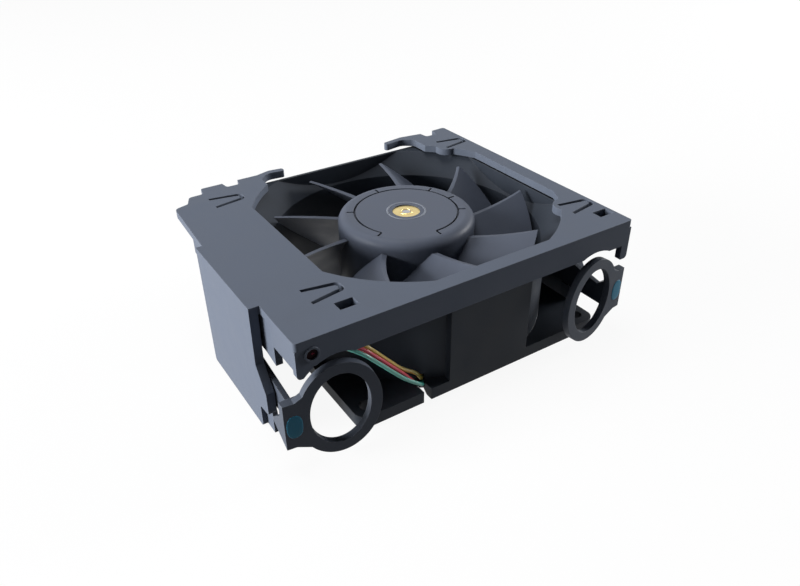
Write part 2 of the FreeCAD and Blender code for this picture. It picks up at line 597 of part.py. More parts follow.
def impeller():
    """Model the impeller: a hub cup and its twisted blades, trimmed to the tip radius."""
    body = doc.addObject("PartDesign::Body", "impeller_body")
    cup = body_profile(body, "hub_profile", [
        ("0", "hub_foot"), ("hub_radius", "hub_foot"), ("hub_radius", HUB_TOP_Z, "hub_shoulder"),
        ("0", HUB_TOP_Z)])
    hub = body.newObject("PartDesign::Revolution", "hub_solid")
    hub.Profile = cup
    hub.ReferenceAxis = (cup, ["V_Axis"])
    hub.Angle = 360
    doc.recompute()
    stations = []
    for name in ("root", "mid", "tip"):
        thick = {"root": "root_blade", "mid": "(root_blade + tip_blade) / 2", "tip": "tip_blade"}[name]
        stations.append(blade_section(
            body, name + "_section", name + "_plane", (name + "_lead_y", name + "_lead_z"),
            (name + "_trail_y", name + "_trail_z"), thick))
    doc.recompute()
    blade = body.newObject("PartDesign::AdditiveLoft", "blade")
    blade.Profile = stations[0]
    blade.Sections = stations[1:]
    doc.recompute()
    blades = body.newObject("PartDesign::PolarPattern", "blades")
    blades.Originals = [blade]
    blades.Axis = (cup, ["V_Axis"])
    blades.Angle = 360
    tie(blades, Occurrences="blade_count")
    body.Tip = blades
    body.Placement.Rotation = FreeCAD.Rotation(Vector(0, 0, 1), number("blade_turn"))
    doc.recompute()
    top = f"{HUB_TOP_Z} - hub_top"
    tip_trim = ring("tip_trim", "tip_radius", "2 * tip_radius", "-fan_depth", "2 * fan_depth")
    hub_bore = cylinder("hub_bore", "hub_radius - hub_wall", "-1", top)
    bush_hole = cylinder("bush_hole", "bush_radius", "0", "2 * fan_depth")
    cup = cut_away("impeller_trimmed", cut_away("impeller_bored", body, hub_bore, bush_hole), tip_trim)
    floor = f"{HUB_TOP_Z} - groove_depth"
    groove = cylinder("groove_disc", "groove_radius + groove_width / 2", floor, "fan_depth")
    groove.Angle = 300
    groove.Placement.Rotation = FreeCAD.Rotation(Vector(0, 0, 1), -90)
    core = cylinder("groove_core", "groove_radius - groove_width / 2", "0", "fan_depth")
    groove = cut_away("groove", groove, core)
    notch = box("balance_notch", ("groove_radius", "groove_radius + notch_reach"),
                ("-groove_width / 2", "groove_width / 2"), (floor, "fan_depth"))
    notches = [turned_copy(f"balance_notch_{angle}", notch, angle)
               for angle in (0, 30, 90, 150, 210, 270, 330)]
    piece(cut_away("impeller_finished", cup, groove, *notches), "impeller")


def rotor_inside():
    """Model what turns inside the hub: yoke, magnet, bush, shaft, washer and clip."""
    yoke_radius = "hub_radius - hub_wall - yoke_fit"
    yoke_top = f"{HUB_TOP_Z} - hub_top - yoke_fit"
    piece(turned("yoke", [
        (f"{yoke_radius} - yoke_wall", "yoke_foot"), (yoke_radius, "yoke_foot"),
        (yoke_radius, yoke_top, "yoke_wall * 1.5"),
        ("bush_radius + press_gap", yoke_top), ("bush_radius + press_gap", f"{yoke_top} - yoke_wall"),
        (f"{yoke_radius} - yoke_wall", f"{yoke_top} - yoke_wall")]), "rotor_yoke")
    magnet_radius = f"{yoke_radius} - yoke_wall - magnet_fit"
    piece(ring("magnet", f"{magnet_radius} - magnet_wall", magnet_radius, "magnet_foot",
               "magnet_foot + magnet_height"), "rotor_magnet")
    bush_top = f"{HUB_TOP_Z} - bush_drop"
    piece(ring("bush", "shaft_radius + press_gap", "bush_radius - press_gap", "bush_foot", bush_top),
          "hub_bush")
    groove_foot = "lower_bearing - clip_width - press_gap"
    neck = "shaft_radius - clip_groove"
    piece(turned("shaft_solid", [
        ("0", "shaft_foot"), ("shaft_radius", "shaft_foot"), ("shaft_radius", f"{groove_foot} - press_gap"),
        (neck, f"{groove_foot} - press_gap"), (neck, "lower_bearing"), ("shaft_radius", "lower_bearing"),
        ("shaft_radius", bush_top), ("0", bush_top)]), "shaft")
    disc = ring("clip_disc", f"{neck} + press_gap", "clip_radius", groove_foot,
                "lower_bearing - 2 * press_gap")
    mouth = box("clip_mouth", ("0", "2 * clip_radius"), (f"-{neck}", neck), ("0", "2 * lower_bearing"))
    piece(cut_away("clip", disc, mouth), "shaft_clip")
    washer_foot = "upper_bearing + bearing_width + press_gap"
    piece(turned("washer", [
        ("shaft_radius + press_gap", washer_foot), ("washer_radius", f"{washer_foot} + washer_width / 2"),
        ("washer_radius", f"{washer_foot} + washer_width"), ("shaft_radius + press_gap",
                                                             f"{washer_foot} + washer_width / 2")]),
          "preload_washer")


def bearings():
    """Model the bearing tube and its two ball bearings with their recessed shields."""
    outer = "bearing_radius + press_gap"
    piece(turned("tube", [
        ("bearing_radius - tube_wall", "tube_foot"), (f"{outer} + tube_wall - 2 * press_gap", "tube_foot"),
        (f"{outer} + tube_wall - 2 * press_gap", "tube_top"), (outer, "tube_top"),
        (outer, "upper_bearing - press_gap"), ("bearing_radius - tube_wall", "upper_bearing - press_gap"),
        ("bearing_radius - tube_wall", "lower_bearing + bearing_width + press_gap"),
        (outer, "lower_bearing + bearing_width + press_gap"), (outer, "tube_foot + tube_wall"),
        ("bearing_radius - tube_wall", "tube_foot + tube_wall")]), "bearing_tube")
    bore = "shaft_radius + running_gap"
    shield = ("bearing_radius - 0.7", "bearing_radius - 1.8")
    for name, foot in (("bearing_lower", "lower_bearing"), ("bearing_upper", "upper_bearing")):
        top = f"{foot} + bearing_width"
        piece(turned(name + "_rings", [
            (bore, foot), (shield[1], foot), (shield[1], f"{foot} + 0.3"), (shield[0], f"{foot} + 0.3"),
            (shield[0], foot), ("bearing_radius", foot), ("bearing_radius", top), (shield[0], top),
            (shield[0], f"{top} - 0.3"), (shield[1], f"{top} - 0.3"), (shield[1], top), (bore, top)]), name)


def stator():
    """Model the stator: laminated stack, insulators, coils and the board under them."""
    core_top = "core_foot + core_height"
    tube = "bearing_radius + tube_wall + press_gap"
    shape = joined(
        "core_solid",
        cylinder("core_middle", "core_hub", "core_foot", core_top),
        *[turned_copy(f"pole_{quarter}", pole(), 90 * quarter)
          for quarter in range(int(number("pole_count")))])
    disc = cylinder("core_disc", "core_radius", "core_foot", core_top)
    piece(cut_away("core", shared("core_trimmed", shape, disc),
                   cylinder("core_bore", tube, "0", "fan_depth")), "stator_core")
    coil_wide = "tooth_width / 2 + insulator_wall + coil_thick"
    neck_wide = "tooth_width / 2 + insulator_wall"
    coils = []
    source = coil(coil_wide, neck_wide, core_top)
    for quarter in range(int(number("pole_count"))):
        coils.append(turned_copy(f"coil_{quarter}", source, 90 * quarter))
    piece(joined("coils", *coils), "stator_coils")
    cap = "core_hub + insulator_wall / 2"
    lower = ring("insulator_low", tube, cap, "boss_top", "core_foot")
    upper = ring("insulator_high", tube, cap, core_top, f"{core_top} + coil_thick")
    former = coil_former(core_top)
    formers = [turned_copy(f"former_{quarter}", former, 90 * quarter)
               for quarter in range(int(number("pole_count")))]
    piece(joined("insulators", lower, upper, *formers), "stator_insulators")
    board = ring("board_ring", "boss_radius + press_gap", "board_radius", "board_seat",
                 "board_seat + board_thick")
    piece(board, "motor_board")
    top = "board_seat + board_thick"
    chips = [
        box("driver_chip", ("10", "14"), ("-2.5", "2.5"), (top, f"{top} + chip_height")),
        box("sense_chip", ("-2", "2"), ("14", "16.5"), (top, f"{top} + chip_height")),
        cylinder("smoothing_cap", "2", top, f"{top} + chip_height", "-12.5", "4"),
    ]
    piece(joined("chips", *chips), "board_chips")


def pole():
    """Model one pole of the stator stack: a neck and a wide shoe."""
    high = "core_foot + core_height"
    neck = box("pole_neck", ("core_hub / 2", "core_radius"), ("-tooth_width / 2", "tooth_width / 2"),
               ("core_foot", high))
    shoe = box("pole_shoe", ("core_radius - shoe_depth", "core_radius"), ("-core_radius", "core_radius"),
               ("core_foot", high))
    return joined("pole", neck, shoe)


def coil_former(core_top):
    """Model the sleeve that insulates one pole's neck."""
    length = ("core_hub + press_gap", "coil_end + insulator_wall / 2")
    wall = "(insulator_wall - press_gap)"
    outer = box("former_block", length, (f"-tooth_width / 2 - {wall}", f"tooth_width / 2 + {wall}"),
                (f"core_foot - {wall}", f"{core_top} + {wall}"))
    neck = box("former_hole", ("core_hub / 2", "core_radius"),
               ("-tooth_width / 2 - press_gap", "tooth_width / 2 + press_gap"), ("core_foot", core_top))
    return cut_away("former", outer, neck)


def coil(half_wide, half_neck, core_top):
    """Model one coil, wound round a pole's neck."""
    low, high = "core_foot - insulator_wall - coil_thick", f"{core_top} + insulator_wall + coil_thick"
    outer = [(f"{sign} * ({half_wide})", z, "coil_thick * 0.8") for sign, z in
             (("-1", low), ("1", low), ("1", high), ("-1", high))]
    inner = [(f"{sign} * ({half_neck})", z) for sign, z in
             (("-1", "core_foot - insulator_wall"), ("1", "core_foot - insulator_wall"),
              ("1", f"{core_top} + insulator_wall"), ("-1", f"{core_top} + insulator_wall"))]
    solid = extruded("coil_block", outer, "coil_start", "coil_end", "YZ")
    hole = extruded("coil_hole", inner, "coil_start - 1", "coil_end + 1", "YZ")
    return cut_away("coil", solid, hole)


def plate_edge():
    """List the corners of the carrier's plate, from its front left corner round to its left wing."""
    front = [
        ("plate_left", "front_y", "skin_thick / 2"), ("carrier_right", "front_y", "skin_thick / 2"),
        ("carrier_right", "right_back_y", "skin_thick / 2")]
    right_notch = [
        ("carrier_right - 5.9", "right_back_y - 0.4"), ("carrier_right - 6.7", "right_back_y - 4.4", "1"),
        ("carrier_right - 11.3", "right_back_y - 4.4", "1"), ("carrier_right - 11.8", "right_back_y - 0.7")]
    right_finger = [
        ("finger_right_tip + 8.5", "back_y + 2.6", "5"), ("finger_right_tip", "back_y + 1.2", "0.9"),
        ("finger_right_tip", "back_y + 1.2 - finger_width", "0.9"),
        ("finger_right_tip + 7.5", "back_y + 0.2", "4"), ("gap_right", "back_y - 3", "3"),
        ("gap_right", "opening_radius / 2")]
    left_finger = [
        ("gap_left", "opening_radius / 2"), ("gap_left", "back_y - 4", "3"),
        ("finger_left_tip - 6.5", "back_y - 0.8", "4"),
        ("finger_left_tip", "back_y + 0.8 - finger_width", "0.8"),
        ("finger_left_tip", "back_y + 0.8", "0.8"), ("finger_left_tip - 5", "back_y + 1.5", "4"),
        ("gap_left", "back_y")]
    left_notch = [
        ("gap_left - 7.3", "back_y"), ("gap_left - 8", "back_y - 3.5", "1"),
        ("gap_left - 12.4", "back_y - 3.5", "1"), ("gap_left - 12.9", "back_y")]
    wing = [
        ("plug_left + 6.8", "back_y", "1"), ("plug_left + 6.2", "back_y - 4.4", "1.2"),
        ("plug_left + 1.2", "back_y - 4.6", "1.5"), ("plug_left - 0.8", "wing_tip_y + 1.4", "1"),
        ("wing_tip_x", "wing_tip_y", "2"), ("wing_root_x", "wall_back_y"), (WALL_INSIDE, "wall_back_y"),
        (WALL_INSIDE, "wall_front_y"), ("plate_left", "wall_front_y")]
    return front + right_notch + right_finger + left_finger + left_notch + wing


def tongue_slot(name, root_x, middle_y, low, high):
    """Cut the slot round a sprung tongue: a wide taper less the tongue itself."""
    rims = []
    for label, sign in (("outer", "+"), ("inner", "-")):
        root = f"(tongue_root {sign} tongue_slot) / 2"
        tip = f"(tongue_tip {sign} tongue_slot) / 2"
        end = f"{root_x} + tongue_length {sign} tongue_slot / 2"
        corners = [(root_x, f"{middle_y} - {root}"), (end, f"{middle_y} - {tip}", f"{tip} * 0.8"),
                   (end, f"{middle_y} + {tip}", f"{tip} * 0.8"), (root_x, f"{middle_y} + {root}")]
        rims.append(extruded(f"{name}_{label}", corners, low, high))
    return cut_away(name, *rims)


def air_opening(low, high):
    """Make the shape of the air opening: a clipped circle less the two tabs."""
    disc = cylinder("opening_disc", "opening_radius", low, high)
    limit = box("opening_limit", ("opening_left", "opening_right"), ("opening_front", "opening_back"),
                (low, high))
    tabs = []
    for name, x, y in (("front_tab", "tongue_right_x + 2.4", "tongue_front_y + 2.5"),
                       ("back_tab", "tongue_right_x + 1.3", "tongue_back_y - 1.2")):
        tabs.append(cylinder(name, "tab_radius", low, high, x, y))
        tabs.append(box(name + "_root", (x, "carrier_right"),
                        (f"{y} - tab_radius / 2", f"{y} + tab_radius / 2"), (low, high)))
    return cut_away("opening", shared("opening_clipped", disc, limit), *tabs)


def snap_hook(name, side, middle_y):
    """Model a hook that hangs from the plate and grips under the fan's inlet flange."""
    foot = f"{FLANGE_TOP_FOOT} - hook_gap"
    near, far = f"{HALF_SIDE} + hook_gap", f"{HALF_SIDE} + hook_gap + hook_thick"
    grip = f"{HALF_SIDE} - hook_reach"
    leg, lip = (near, far), (grip, near)
    if side < 0:
        leg, lip = (f"-({far})", f"-({near})"), (f"-({near})", f"-({grip})")
    leg_y = (f"{middle_y} - window_deep / 2 - 1.3", f"{middle_y} + window_deep / 2 + 1.3")
    lip_y = (f"{middle_y} - window_deep / 2", f"{middle_y} + window_deep / 2")
    return joined(name, box(name + "_leg", leg, leg_y, (f"{foot} - hook_lip", PLATE_FOOT)),
                  box(name + "_lip", lip, lip_y, (f"{foot} - hook_lip", foot)))


def carrier_plate():
    """Model the plate with its opening, tongues and windows."""
    low, high = f"{PLATE_FOOT} - 1", "plate_top + 1"
    plate = extruded("plate", plate_edge(), PLATE_FOOT, "plate_top")
    cuts = [air_opening(low, high)]
    for side in ("left", "right"):
        for end in ("front", "back"):
            cuts.append(tongue_slot(f"slot_{side}_{end}", f"tongue_{side}_x", f"tongue_{end}_y", low, high))
    for side, middle in (("left", f"-{HALF_SIDE} + 0.1"), ("right", f"{HALF_SIDE} + 0.7")):
        cuts.append(box(f"window_{side}", (f"{middle} - window_wide / 2", f"{middle} + window_wide / 2"),
                        ("window_y - window_deep / 2", "window_y + window_deep / 2"), (low, high)))
    return cut_away("plate_pierced", plate, *cuts)


def apron():
    """Model the front apron with its lobes, its arches over the rings and the lamp's collar."""
    back = "front_y + skin_thick"
    depth = ("front_y", back)
    sheet_part = box("apron_sheet", ("plate_left + 0.3", "carrier_right - 0.3"), depth,
                     ("apron_foot", PLATE_FOOT))
    left_lobe = extruded("left_lobe", [
        ("plate_left", PLATE_FOOT), ("plate_left + 4.5", PLATE_FOOT),
        ("plate_left + 4.5", "lobe_foot_left", "1"), ("plate_left", "lobe_foot_left", "1.2")],
        "front_y", back, "XZ")
    right_lobe = extruded("right_lobe", [
        ("carrier_right - 3", PLATE_FOOT), ("carrier_right", PLATE_FOOT),
        ("carrier_right", "lobe_foot_right", "1.2"), ("carrier_right - 3", "lobe_foot_right", "0.5")],
        "front_y", back, "XZ")
    collar = cylinder_along_y("lamp_collar", "lamp_collar", "front_y - lamp_proud", back, "lamp_x", "lamp_z")
    body = joined("apron_body", sheet_part, left_lobe, right_lobe, collar)
    reach = ("front_y - 2", "front_y + 2 * skin_thick")
    arches = [oval_bar(f"arch_{side}", "arch_half_width", "arch_half_height", middle, "ring_z", *reach)
              for side, middle in (("left", LEFT_RING_X), ("right", RIGHT_RING_X))]
    bore = cylinder_along_y("lamp_bore", "lamp_radius + lamp_fit", *reach, "lamp_x", "lamp_z")
    return cut_away("apron_cut", body, *arches, bore)


def side_wall():
    """Model the left outer wall with its toe, its inner strip and the block at the latch arm's root."""
    wall = extruded("wall", [
        ("wall_back_y", "0", "1"), ("wall_back_y", "plate_top"), ("wall_front_y", "plate_top"),
        ("wall_front_y + 0.6", "toe_top", "1"), ("toe_y", "toe_top - 7.1", "1"), ("toe_y", "toe_foot", "1"),
        ("wall_front_y + 1.4", "toe_foot - 0.6", "0.8"), ("wall_front_y + 1.4", "0", "1")],
        "carrier_left", WALL_INSIDE, "YZ")
    strip = box("toe_strip", (f"{WALL_INSIDE} - 1", f"{WALL_INSIDE} + 0.5"),
                ("toe_y + 1.1", "wall_front_y + 3"), ("skin_thick / 5", "toe_foot - 0.4"))
    block = box("arm_root_block", (f"{WALL_INSIDE} - 0.5", ARM_INSIDE),
                ("arm_root_y + root_gap", "arm_root_y + root_gap + root_block"), ("arm_foot", "arm_top"))
    socket = cylinder("knuckle_socket", "knuckle_radius + knuckle_fit", "arm_foot - 1", "arm_top + 1",
                      ARM_MIDDLE, "arm_root_y")
    root = cut_away("arm_root", block, socket)
    return joined("left_wall", wall, strip, root)


def plug_pocket():
    """Model the rails and the strap that hold the plug under the left wing."""
    inner = ("plug_left - plug_gap", "plug_left + plug_width + plug_gap")
    outer = (f"{inner[0]} - rail_thick", f"{inner[1]} + rail_thick")
    length = ("plug_front_y + 3", "plug_front_y + 8")
    foot = "plug_foot - plug_gap - rail_thick"
    rails = [box("plug_rail_left", (outer[0], inner[0]), length, (foot, PLATE_FOOT)),
             box("plug_rail_right", (inner[1], outer[1]), length, (foot, PLATE_FOOT))]
    strap = box("plug_strap", outer, length, (foot, "plug_foot - press_gap"))
    return rails + [strap]


def carrier():
    """Model the carrier: plate, apron, walls, skirts, hooks, pegs and plug pocket in one moulding."""
    left = side_wall()
    right = mirrored("right_wall", left)
    skirts = [
        box("left_skirt", ("plate_left", "plate_left + skin_thick"), ("front_y + 1", "skirt_back_y"),
            ("skirt_foot", PLATE_FOOT)),
        box("right_skirt", ("carrier_right - skin_thick", "carrier_right"), ("front_y + 1", "skirt_back_y"),
            ("skirt_foot", PLATE_FOOT)),
        extruded("inner_rib", [
            ("plate_left", "skirt_back_y - 0.5"), ("plate_left + skin_thick", "skirt_back_y - 0.5"),
            ("carrier_left + rib_inset", "wall_front_y", "2"), ("carrier_left + rib_inset", "wall_back_y"),
            ("carrier_left + rib_inset - skin_thick", "wall_back_y"),
            ("carrier_left + rib_inset - skin_thick", "wall_front_y", "2")], "rib_foot", PLATE_FOOT),
        box("right_rib", (f"{HALF_SIDE} + 0.4", "carrier_right - wall_thick + 0.2"),
            ("skirt_back_y", "wall_front_y + 2"), ("rib_foot", PLATE_FOOT)),
    ]
    hooks = [snap_hook(f"hook_{side}_{end}".replace("-", "m"), side, middle) for side in (-1, 1)
             for end, middle in (("front", "window_y"), ("back", "hook_back_y"))]
    pegs = []
    for index, (a, b) in enumerate((("-1", "-1"), ("1", "-1"), ("1", "1"), ("-1", "1"))):
        place = (f"{a} * {HALF_PITCH}", f"{b} * {HALF_PITCH}")
        pegs.append(cylinder(f"peg_{index}", "peg_radius", "fan_depth - peg_length", PLATE_FOOT, *place))
        pegs.append(cylinder(f"peg_pad_{index}", "peg_pad", "fan_depth", PLATE_FOOT, *place))
    body = joined("carrier_finished", carrier_plate(), apron(), left, right, *skirts, *hooks, *pegs,
                  *plug_pocket())
    piece(body, "carrier")


def mirrored(name, source):
    """Mirror a left-hand part to the carrier's right-hand side."""
    copy = doc.addObject("Part::Mirroring", name)
    copy.Source = source
    copy.Normal = Vector(1, 0, 0)
    return tie(copy, Base__x=MIRROR_X)


def ring_plate():
    """Model the left latch's ring and the plate at its root, flat on the plane y = 0."""
    band = cut_away(
        "ring_band",
        oval_bar("ring_outside", "ring_half_width", "ring_half_height", "0", "ring_z", "0", "latch_thick"),
        oval_bar("ring_inside", "ring_half_width - ring_band", "ring_half_height - ring_band", "0", "ring_z",
                 "-1", "latch_thick + 1"))
    root = extruded("ring_root", [
        ("-ring_reach", "latch_foot"), ("-ring_half_width - 0.9", "latch_foot"),
        ("3.5 - ring_half_width", "latch_foot - 1.9"), ("ring_band * 0.8 - ring_half_width", "latch_foot"),
        ("ring_band * 0.8 - ring_half_width", "latch_top"), ("3 - ring_half_width", "latch_top + 1.9"),
        ("-ring_half_width - 0.6", "latch_top"), ("-ring_reach", "latch_top")], "0", "latch_thick", "XZ")
    return joined("ring_face", band, root)


def latches():
    """Model the left latch, a ring plate on a wedge-shaped cheek with a sprung arm, and mirror it."""
    face = turned_copy("ring_face_turned", ring_plate(), -number("ring_toe"))
    tie(face, Placement__Base__x=LEFT_RING_X, Placement__Base__y="latch_front_y - ring_reach * sin(ring_toe)")
    cheek = extruded("latch_cheek", [
        ("latch_front_y + 0.05", "latch_foot"), ("cheek_back_y", "cheek_back_foot", "0.3"),
        ("cheek_back_y", "cheek_back_top", "0.3"), ("cheek_neck_y", "cheek_neck_foot", "0.8"),
        ("cheek_neck_y", "latch_top"), ("latch_front_y + 0.05", "latch_top")],
        LATCH_OUTSIDE, ARM_INSIDE, "YZ")
    arm = extruded("latch_arm", [
        ("latch_front_y + 1.2", "arm_foot"), ("arm_root_y", "arm_foot"), ("arm_root_y", "arm_top"),
        ("latch_front_y + 1.2", "arm_nose")], ARM_OUTSIDE, ARM_INSIDE, "YZ")
    knuckle = cylinder("arm_knuckle", "knuckle_radius", "arm_foot", "arm_top", ARM_MIDDLE, "arm_root_y")
    left = joined("latch_solid", face, cheek, arm, knuckle)
    piece(left, "latch_left")
    piece(mirrored("latch_mirrored", left), "latch_right")


def contact_places():
    """List the names and the (x, z) expressions of the plug's six contacts."""
    columns = (f"{PLUG_X} - contact_pitch", PLUG_X, f"{PLUG_X} + contact_pitch")
    rows = (f"{PLUG_Z} + contact_pitch / 2", f"{PLUG_Z} - contact_pitch / 2")
    return [(x, z) for z in rows for x in columns]


def plug():
    """Model the plug: a housing with six cavities and the contacts in them."""
    back = "plug_front_y + plug_length"
    side = ("plug_left", "plug_left + plug_width")
    shell = box("plug_block", side, ("plug_front_y", back), ("plug_foot", PLUG_TOP_Z))
    cuts, contacts = [], []
    for index, (x, z) in enumerate(contact_places()):
        cuts.append(box(f"cavity_{index}", (f"{x} - cavity_side / 2", f"{x} + cavity_side / 2"),
                        (f"{back} - cavity_depth", f"{back} + 1"),
                        (f"{z} - cavity_side / 2", f"{z} + cavity_side / 2")))
        cuts.append(cylinder_along_y(f"lead_hole_{index}", "contact_radius + press_gap",
                                     "plug_front_y - 1", back, x, z))
        contacts.append(cylinder_along_y(f"contact_{index}", "contact_radius",
                                         "plug_front_y + 2", f"{back} - 1", x, z))
    groove = ("plug_foot - 1", "plug_foot + 1.2")
    cuts.append(box("plug_key", (f"{PLUG_X} - 1.5", f"{PLUG_X} + 1.5"), (f"{back} - 5", f"{back} + 1"),
                    groove))
    piece(cut_away("plug_shell", shell, *cuts), "plug_housing")
    piece(joined("contacts", *contacts), "plug_contacts")


def status_lamp():
    """Model the status lamp: a lens through the apron, its flange behind it and its body."""
    back = "front_y + skin_thick"
    place = ("lamp_x", "lamp_z")
    lens = cylinder_along_y("lamp_lens", "lamp_radius", "front_y + lamp_proud / 2", f"{back} + 3.4", *place)
    flange = cylinder_along_y("lamp_flange", "lamp_radius + 0.4", back, f"{back} + 0.9", *place)
    piece(joined("lamp_solid", lens, flange), "status_lamp")


def rounded_path(points):
    """Join straight runs by tangent arcs; return the wire and the tightest radius in it."""
    edges, radii, start = [], [], points[0]
    for before, corner, after in zip(points, points[1:], points[2:]):
        back, ahead = before - corner, after - corner
        run = 0.45 * min(back.Length, ahead.Length)
        back.normalize()
        ahead.normalize()
        half_turn = (math.pi - back.getAngle(ahead)) / 2
        radius = run / math.tan(half_turn)
        inward = (back + ahead).normalize()
        middle = corner + inward * (radius / math.cos(half_turn) - radius)
        edges.append(Part.LineSegment(start, corner + back * run).toShape())
        start = corner + ahead * run
        edges.append(Part.Arc(corner + back * run, middle, start).toShape())
        radii.append(radius)
    edges.append(Part.LineSegment(start, points[-1]).toShape())
    return Part.Wire(edges), min(radii)


def lead(label, radius, points):
    """Sweep a lead along its route and report its length, its tightest bend and its volume."""
    wire, bend = rounded_path(points)
    route = doc.addObject("Part::Feature", label + "_route")
    route.Shape = wire
    section = doc.addObject("Part::Circle", label + "_section")
    tie(section, Radius=radius)
    aim = FreeCAD.Rotation(Vector(0, 0, 1), points[1] - points[0])
    section.Placement = FreeCAD.Placement(points[0], aim)
    sweep = doc.addObject("Part::Sweep", label + "_sweep")
    sweep.Sections = [section]
    sweep.Spine = (route, [f"Edge{index + 1}" for index in range(len(wire.Edges))])
    sweep.Solid = True
    sweep.Frenet = True
    doc.recompute([section, sweep])
    expected = math.pi * number(radius) ** 2 * wire.Length
    print(f"{label}: length {wire.Length:.1f}, tightest bend {bend:.1f}, "
          f"volume {sweep.Shape.Volume:.2f} of {expected:.2f}")
    piece(sweep, label)


def along_channel(distance, side, height):
    """Return a point in the lead channel."""
    turn = FreeCAD.Rotation(Vector(0, 0, 1), number("channel_angle"))
    return turn.multVec(Vector(distance, side * number("lead_lane"), number(height)))


def leads():
    """Run the fan's four leads from the board to the plug, and the lamp's two along the plate."""
    contacts = [(number(x), number(z)) for x, z in contact_places()]
    plug_y = number("plug_front_y")
    routes = (
        ("wire_teal", 1, "lead_low", (-24.6, -45.3, 6.6), (-30.5, -45.3, 11.3), (-45.5, -44.8, 28.0), 3),
        ("wire_red", -1, "lead_low", (-26.8, -44.05, 7.8), (-30.0, -44.05, 12.1), (-44.5, -43.6, 28.3), 4),
        ("wire_yellow", 1, "lead_high", (-24.9, -42.8, 9.7), (-30.2, -42.8, 13.2), (-43.5, -42.4, 28.6), 5),
        ("wire_black", -1, "lead_high", (-27.5, -41.55, 8.6), (-33.0, -41.55, 12.5), (-42.5, -41.2, 28.9), 2),
    )
    for lane, (label, side, height, first, second, third, contact) in enumerate(routes):
        low = height == "lead_low"
        start = along_channel(10.5 if low else 13.5, side, height)
        start.z = number("board_seat - 0.95 * lead_radius")
        bay_x = -57.0 + 1.5 * lane
        x, z = contacts[contact]
        lead(label, "lead_radius", [
            start, along_channel(19.0 if low else 20.5, side, height), along_channel(46.8, side, height),
            Vector(*first), Vector(*second), Vector(*third), Vector(bay_x, -37.0 + 1.2 * lane, 31.2),
            Vector(bay_x + 0.6, 8, 31.0), Vector(x, plug_y - 6, z), Vector(x, plug_y + 2, z)])
    lamp_back = number("front_y + skin_thick + 3.4")
    for label, side, contact in (("lamp_wire_a", -1, 0), ("lamp_wire_b", 1, 1)):
        x, z = contacts[contact]
        lead(label, "lamp_lead_radius", [
            Vector(number("lamp_x") + 0.6 * side, lamp_back, number("lamp_z")),
            Vector(-59.0 + 1.5 * side, -10, z + 0.4), Vector(x, plug_y - 8, z), Vector(x, plug_y + 2, z)])


def export_pieces():
    """Check every object and write each piece as a STEP file of its own."""
    faults = [item.Name + " " + item.getStatusString() for item in doc.Objects
              if {"Invalid", "Error"} & set(item.State)]
    if faults:
        raise SystemExit("faulty objects: " + ", ".join(faults))
    os.makedirs("parts", exist_ok=True)
    for label, item in pieces.items():
        shape = item.Shape
        if shape.isNull() or not shape.isValid() or shape.Volume <= 0:
            raise SystemExit(label + " has no valid solid")
        shape.exportStep(f"parts/{label}.step")
        box_size = shape.BoundBox
        print(f"{label}: {len(shape.Solids)} solid(s), volume {shape.Volume:.1f}, "
              f"x {box_size.XMin:.2f} {box_size.XMax:.2f}, y {box_size.YMin:.2f} {box_size.YMax:.2f}, "
              f"z {box_size.ZMin:.2f} {box_size.ZMax:.2f}")


for build in (fan_frame, impeller, rotor_inside, bearings, stator, carrier, latches, plug, status_lamp,
              leads):
    build()
    doc.recompute()
export_pieces()
print(f"{len(pieces)} pieces")
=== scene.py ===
"""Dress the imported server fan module: materials, moulded details, wiring, lights and camera.

Everything is in metres in the CAD's row frame: +Z up the fan's axis, -Y towards the finger rings.
"""

import logging
import math
from dataclasses import dataclass
from enum import Enum

import bmesh
import bpy
from mathutils import Matrix, Vector

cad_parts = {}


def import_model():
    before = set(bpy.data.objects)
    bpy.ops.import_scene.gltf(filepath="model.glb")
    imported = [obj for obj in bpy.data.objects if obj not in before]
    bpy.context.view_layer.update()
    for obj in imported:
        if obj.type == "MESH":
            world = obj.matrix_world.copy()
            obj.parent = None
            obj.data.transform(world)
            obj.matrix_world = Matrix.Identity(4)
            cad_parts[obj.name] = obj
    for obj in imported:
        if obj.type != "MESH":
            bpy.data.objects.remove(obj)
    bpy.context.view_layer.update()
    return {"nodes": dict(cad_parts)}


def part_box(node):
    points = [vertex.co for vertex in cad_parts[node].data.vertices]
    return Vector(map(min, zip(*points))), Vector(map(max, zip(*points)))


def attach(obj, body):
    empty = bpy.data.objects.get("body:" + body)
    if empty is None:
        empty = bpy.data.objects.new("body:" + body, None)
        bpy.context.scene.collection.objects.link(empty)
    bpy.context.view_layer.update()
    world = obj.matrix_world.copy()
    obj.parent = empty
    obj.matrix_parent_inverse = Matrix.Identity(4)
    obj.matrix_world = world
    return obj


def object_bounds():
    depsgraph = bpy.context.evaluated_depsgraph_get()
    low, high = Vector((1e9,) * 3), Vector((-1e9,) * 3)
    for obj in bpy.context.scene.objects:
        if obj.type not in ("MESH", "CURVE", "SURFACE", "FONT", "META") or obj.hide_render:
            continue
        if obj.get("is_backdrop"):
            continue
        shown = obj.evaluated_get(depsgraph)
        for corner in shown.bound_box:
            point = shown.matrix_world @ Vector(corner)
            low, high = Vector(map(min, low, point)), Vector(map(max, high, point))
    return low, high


LOG = logging.getLogger("fan_module")
MM = 0.001

# How the shared surface effects are sized.
MOTTLE_SCALE = 90.0
BUMP_DEPTH = 0.06 * MM
COAT_ROUGHNESS = 0.15
# Painted shade in slots and corners reaches this far from other surfaces, found with this many occlusion
# samples.
CAVITY_REACH = 1.4 * MM
CAVITY_SAMPLES = 6
BEVEL_SAMPLES = 4

# Wear reaches this many roundings in from an edge, and takes the colour this share of the way to a mid level.
WEAR_REACH = 1.6
WORN_LEVEL = 0.5
WORN_SHARE = 0.35

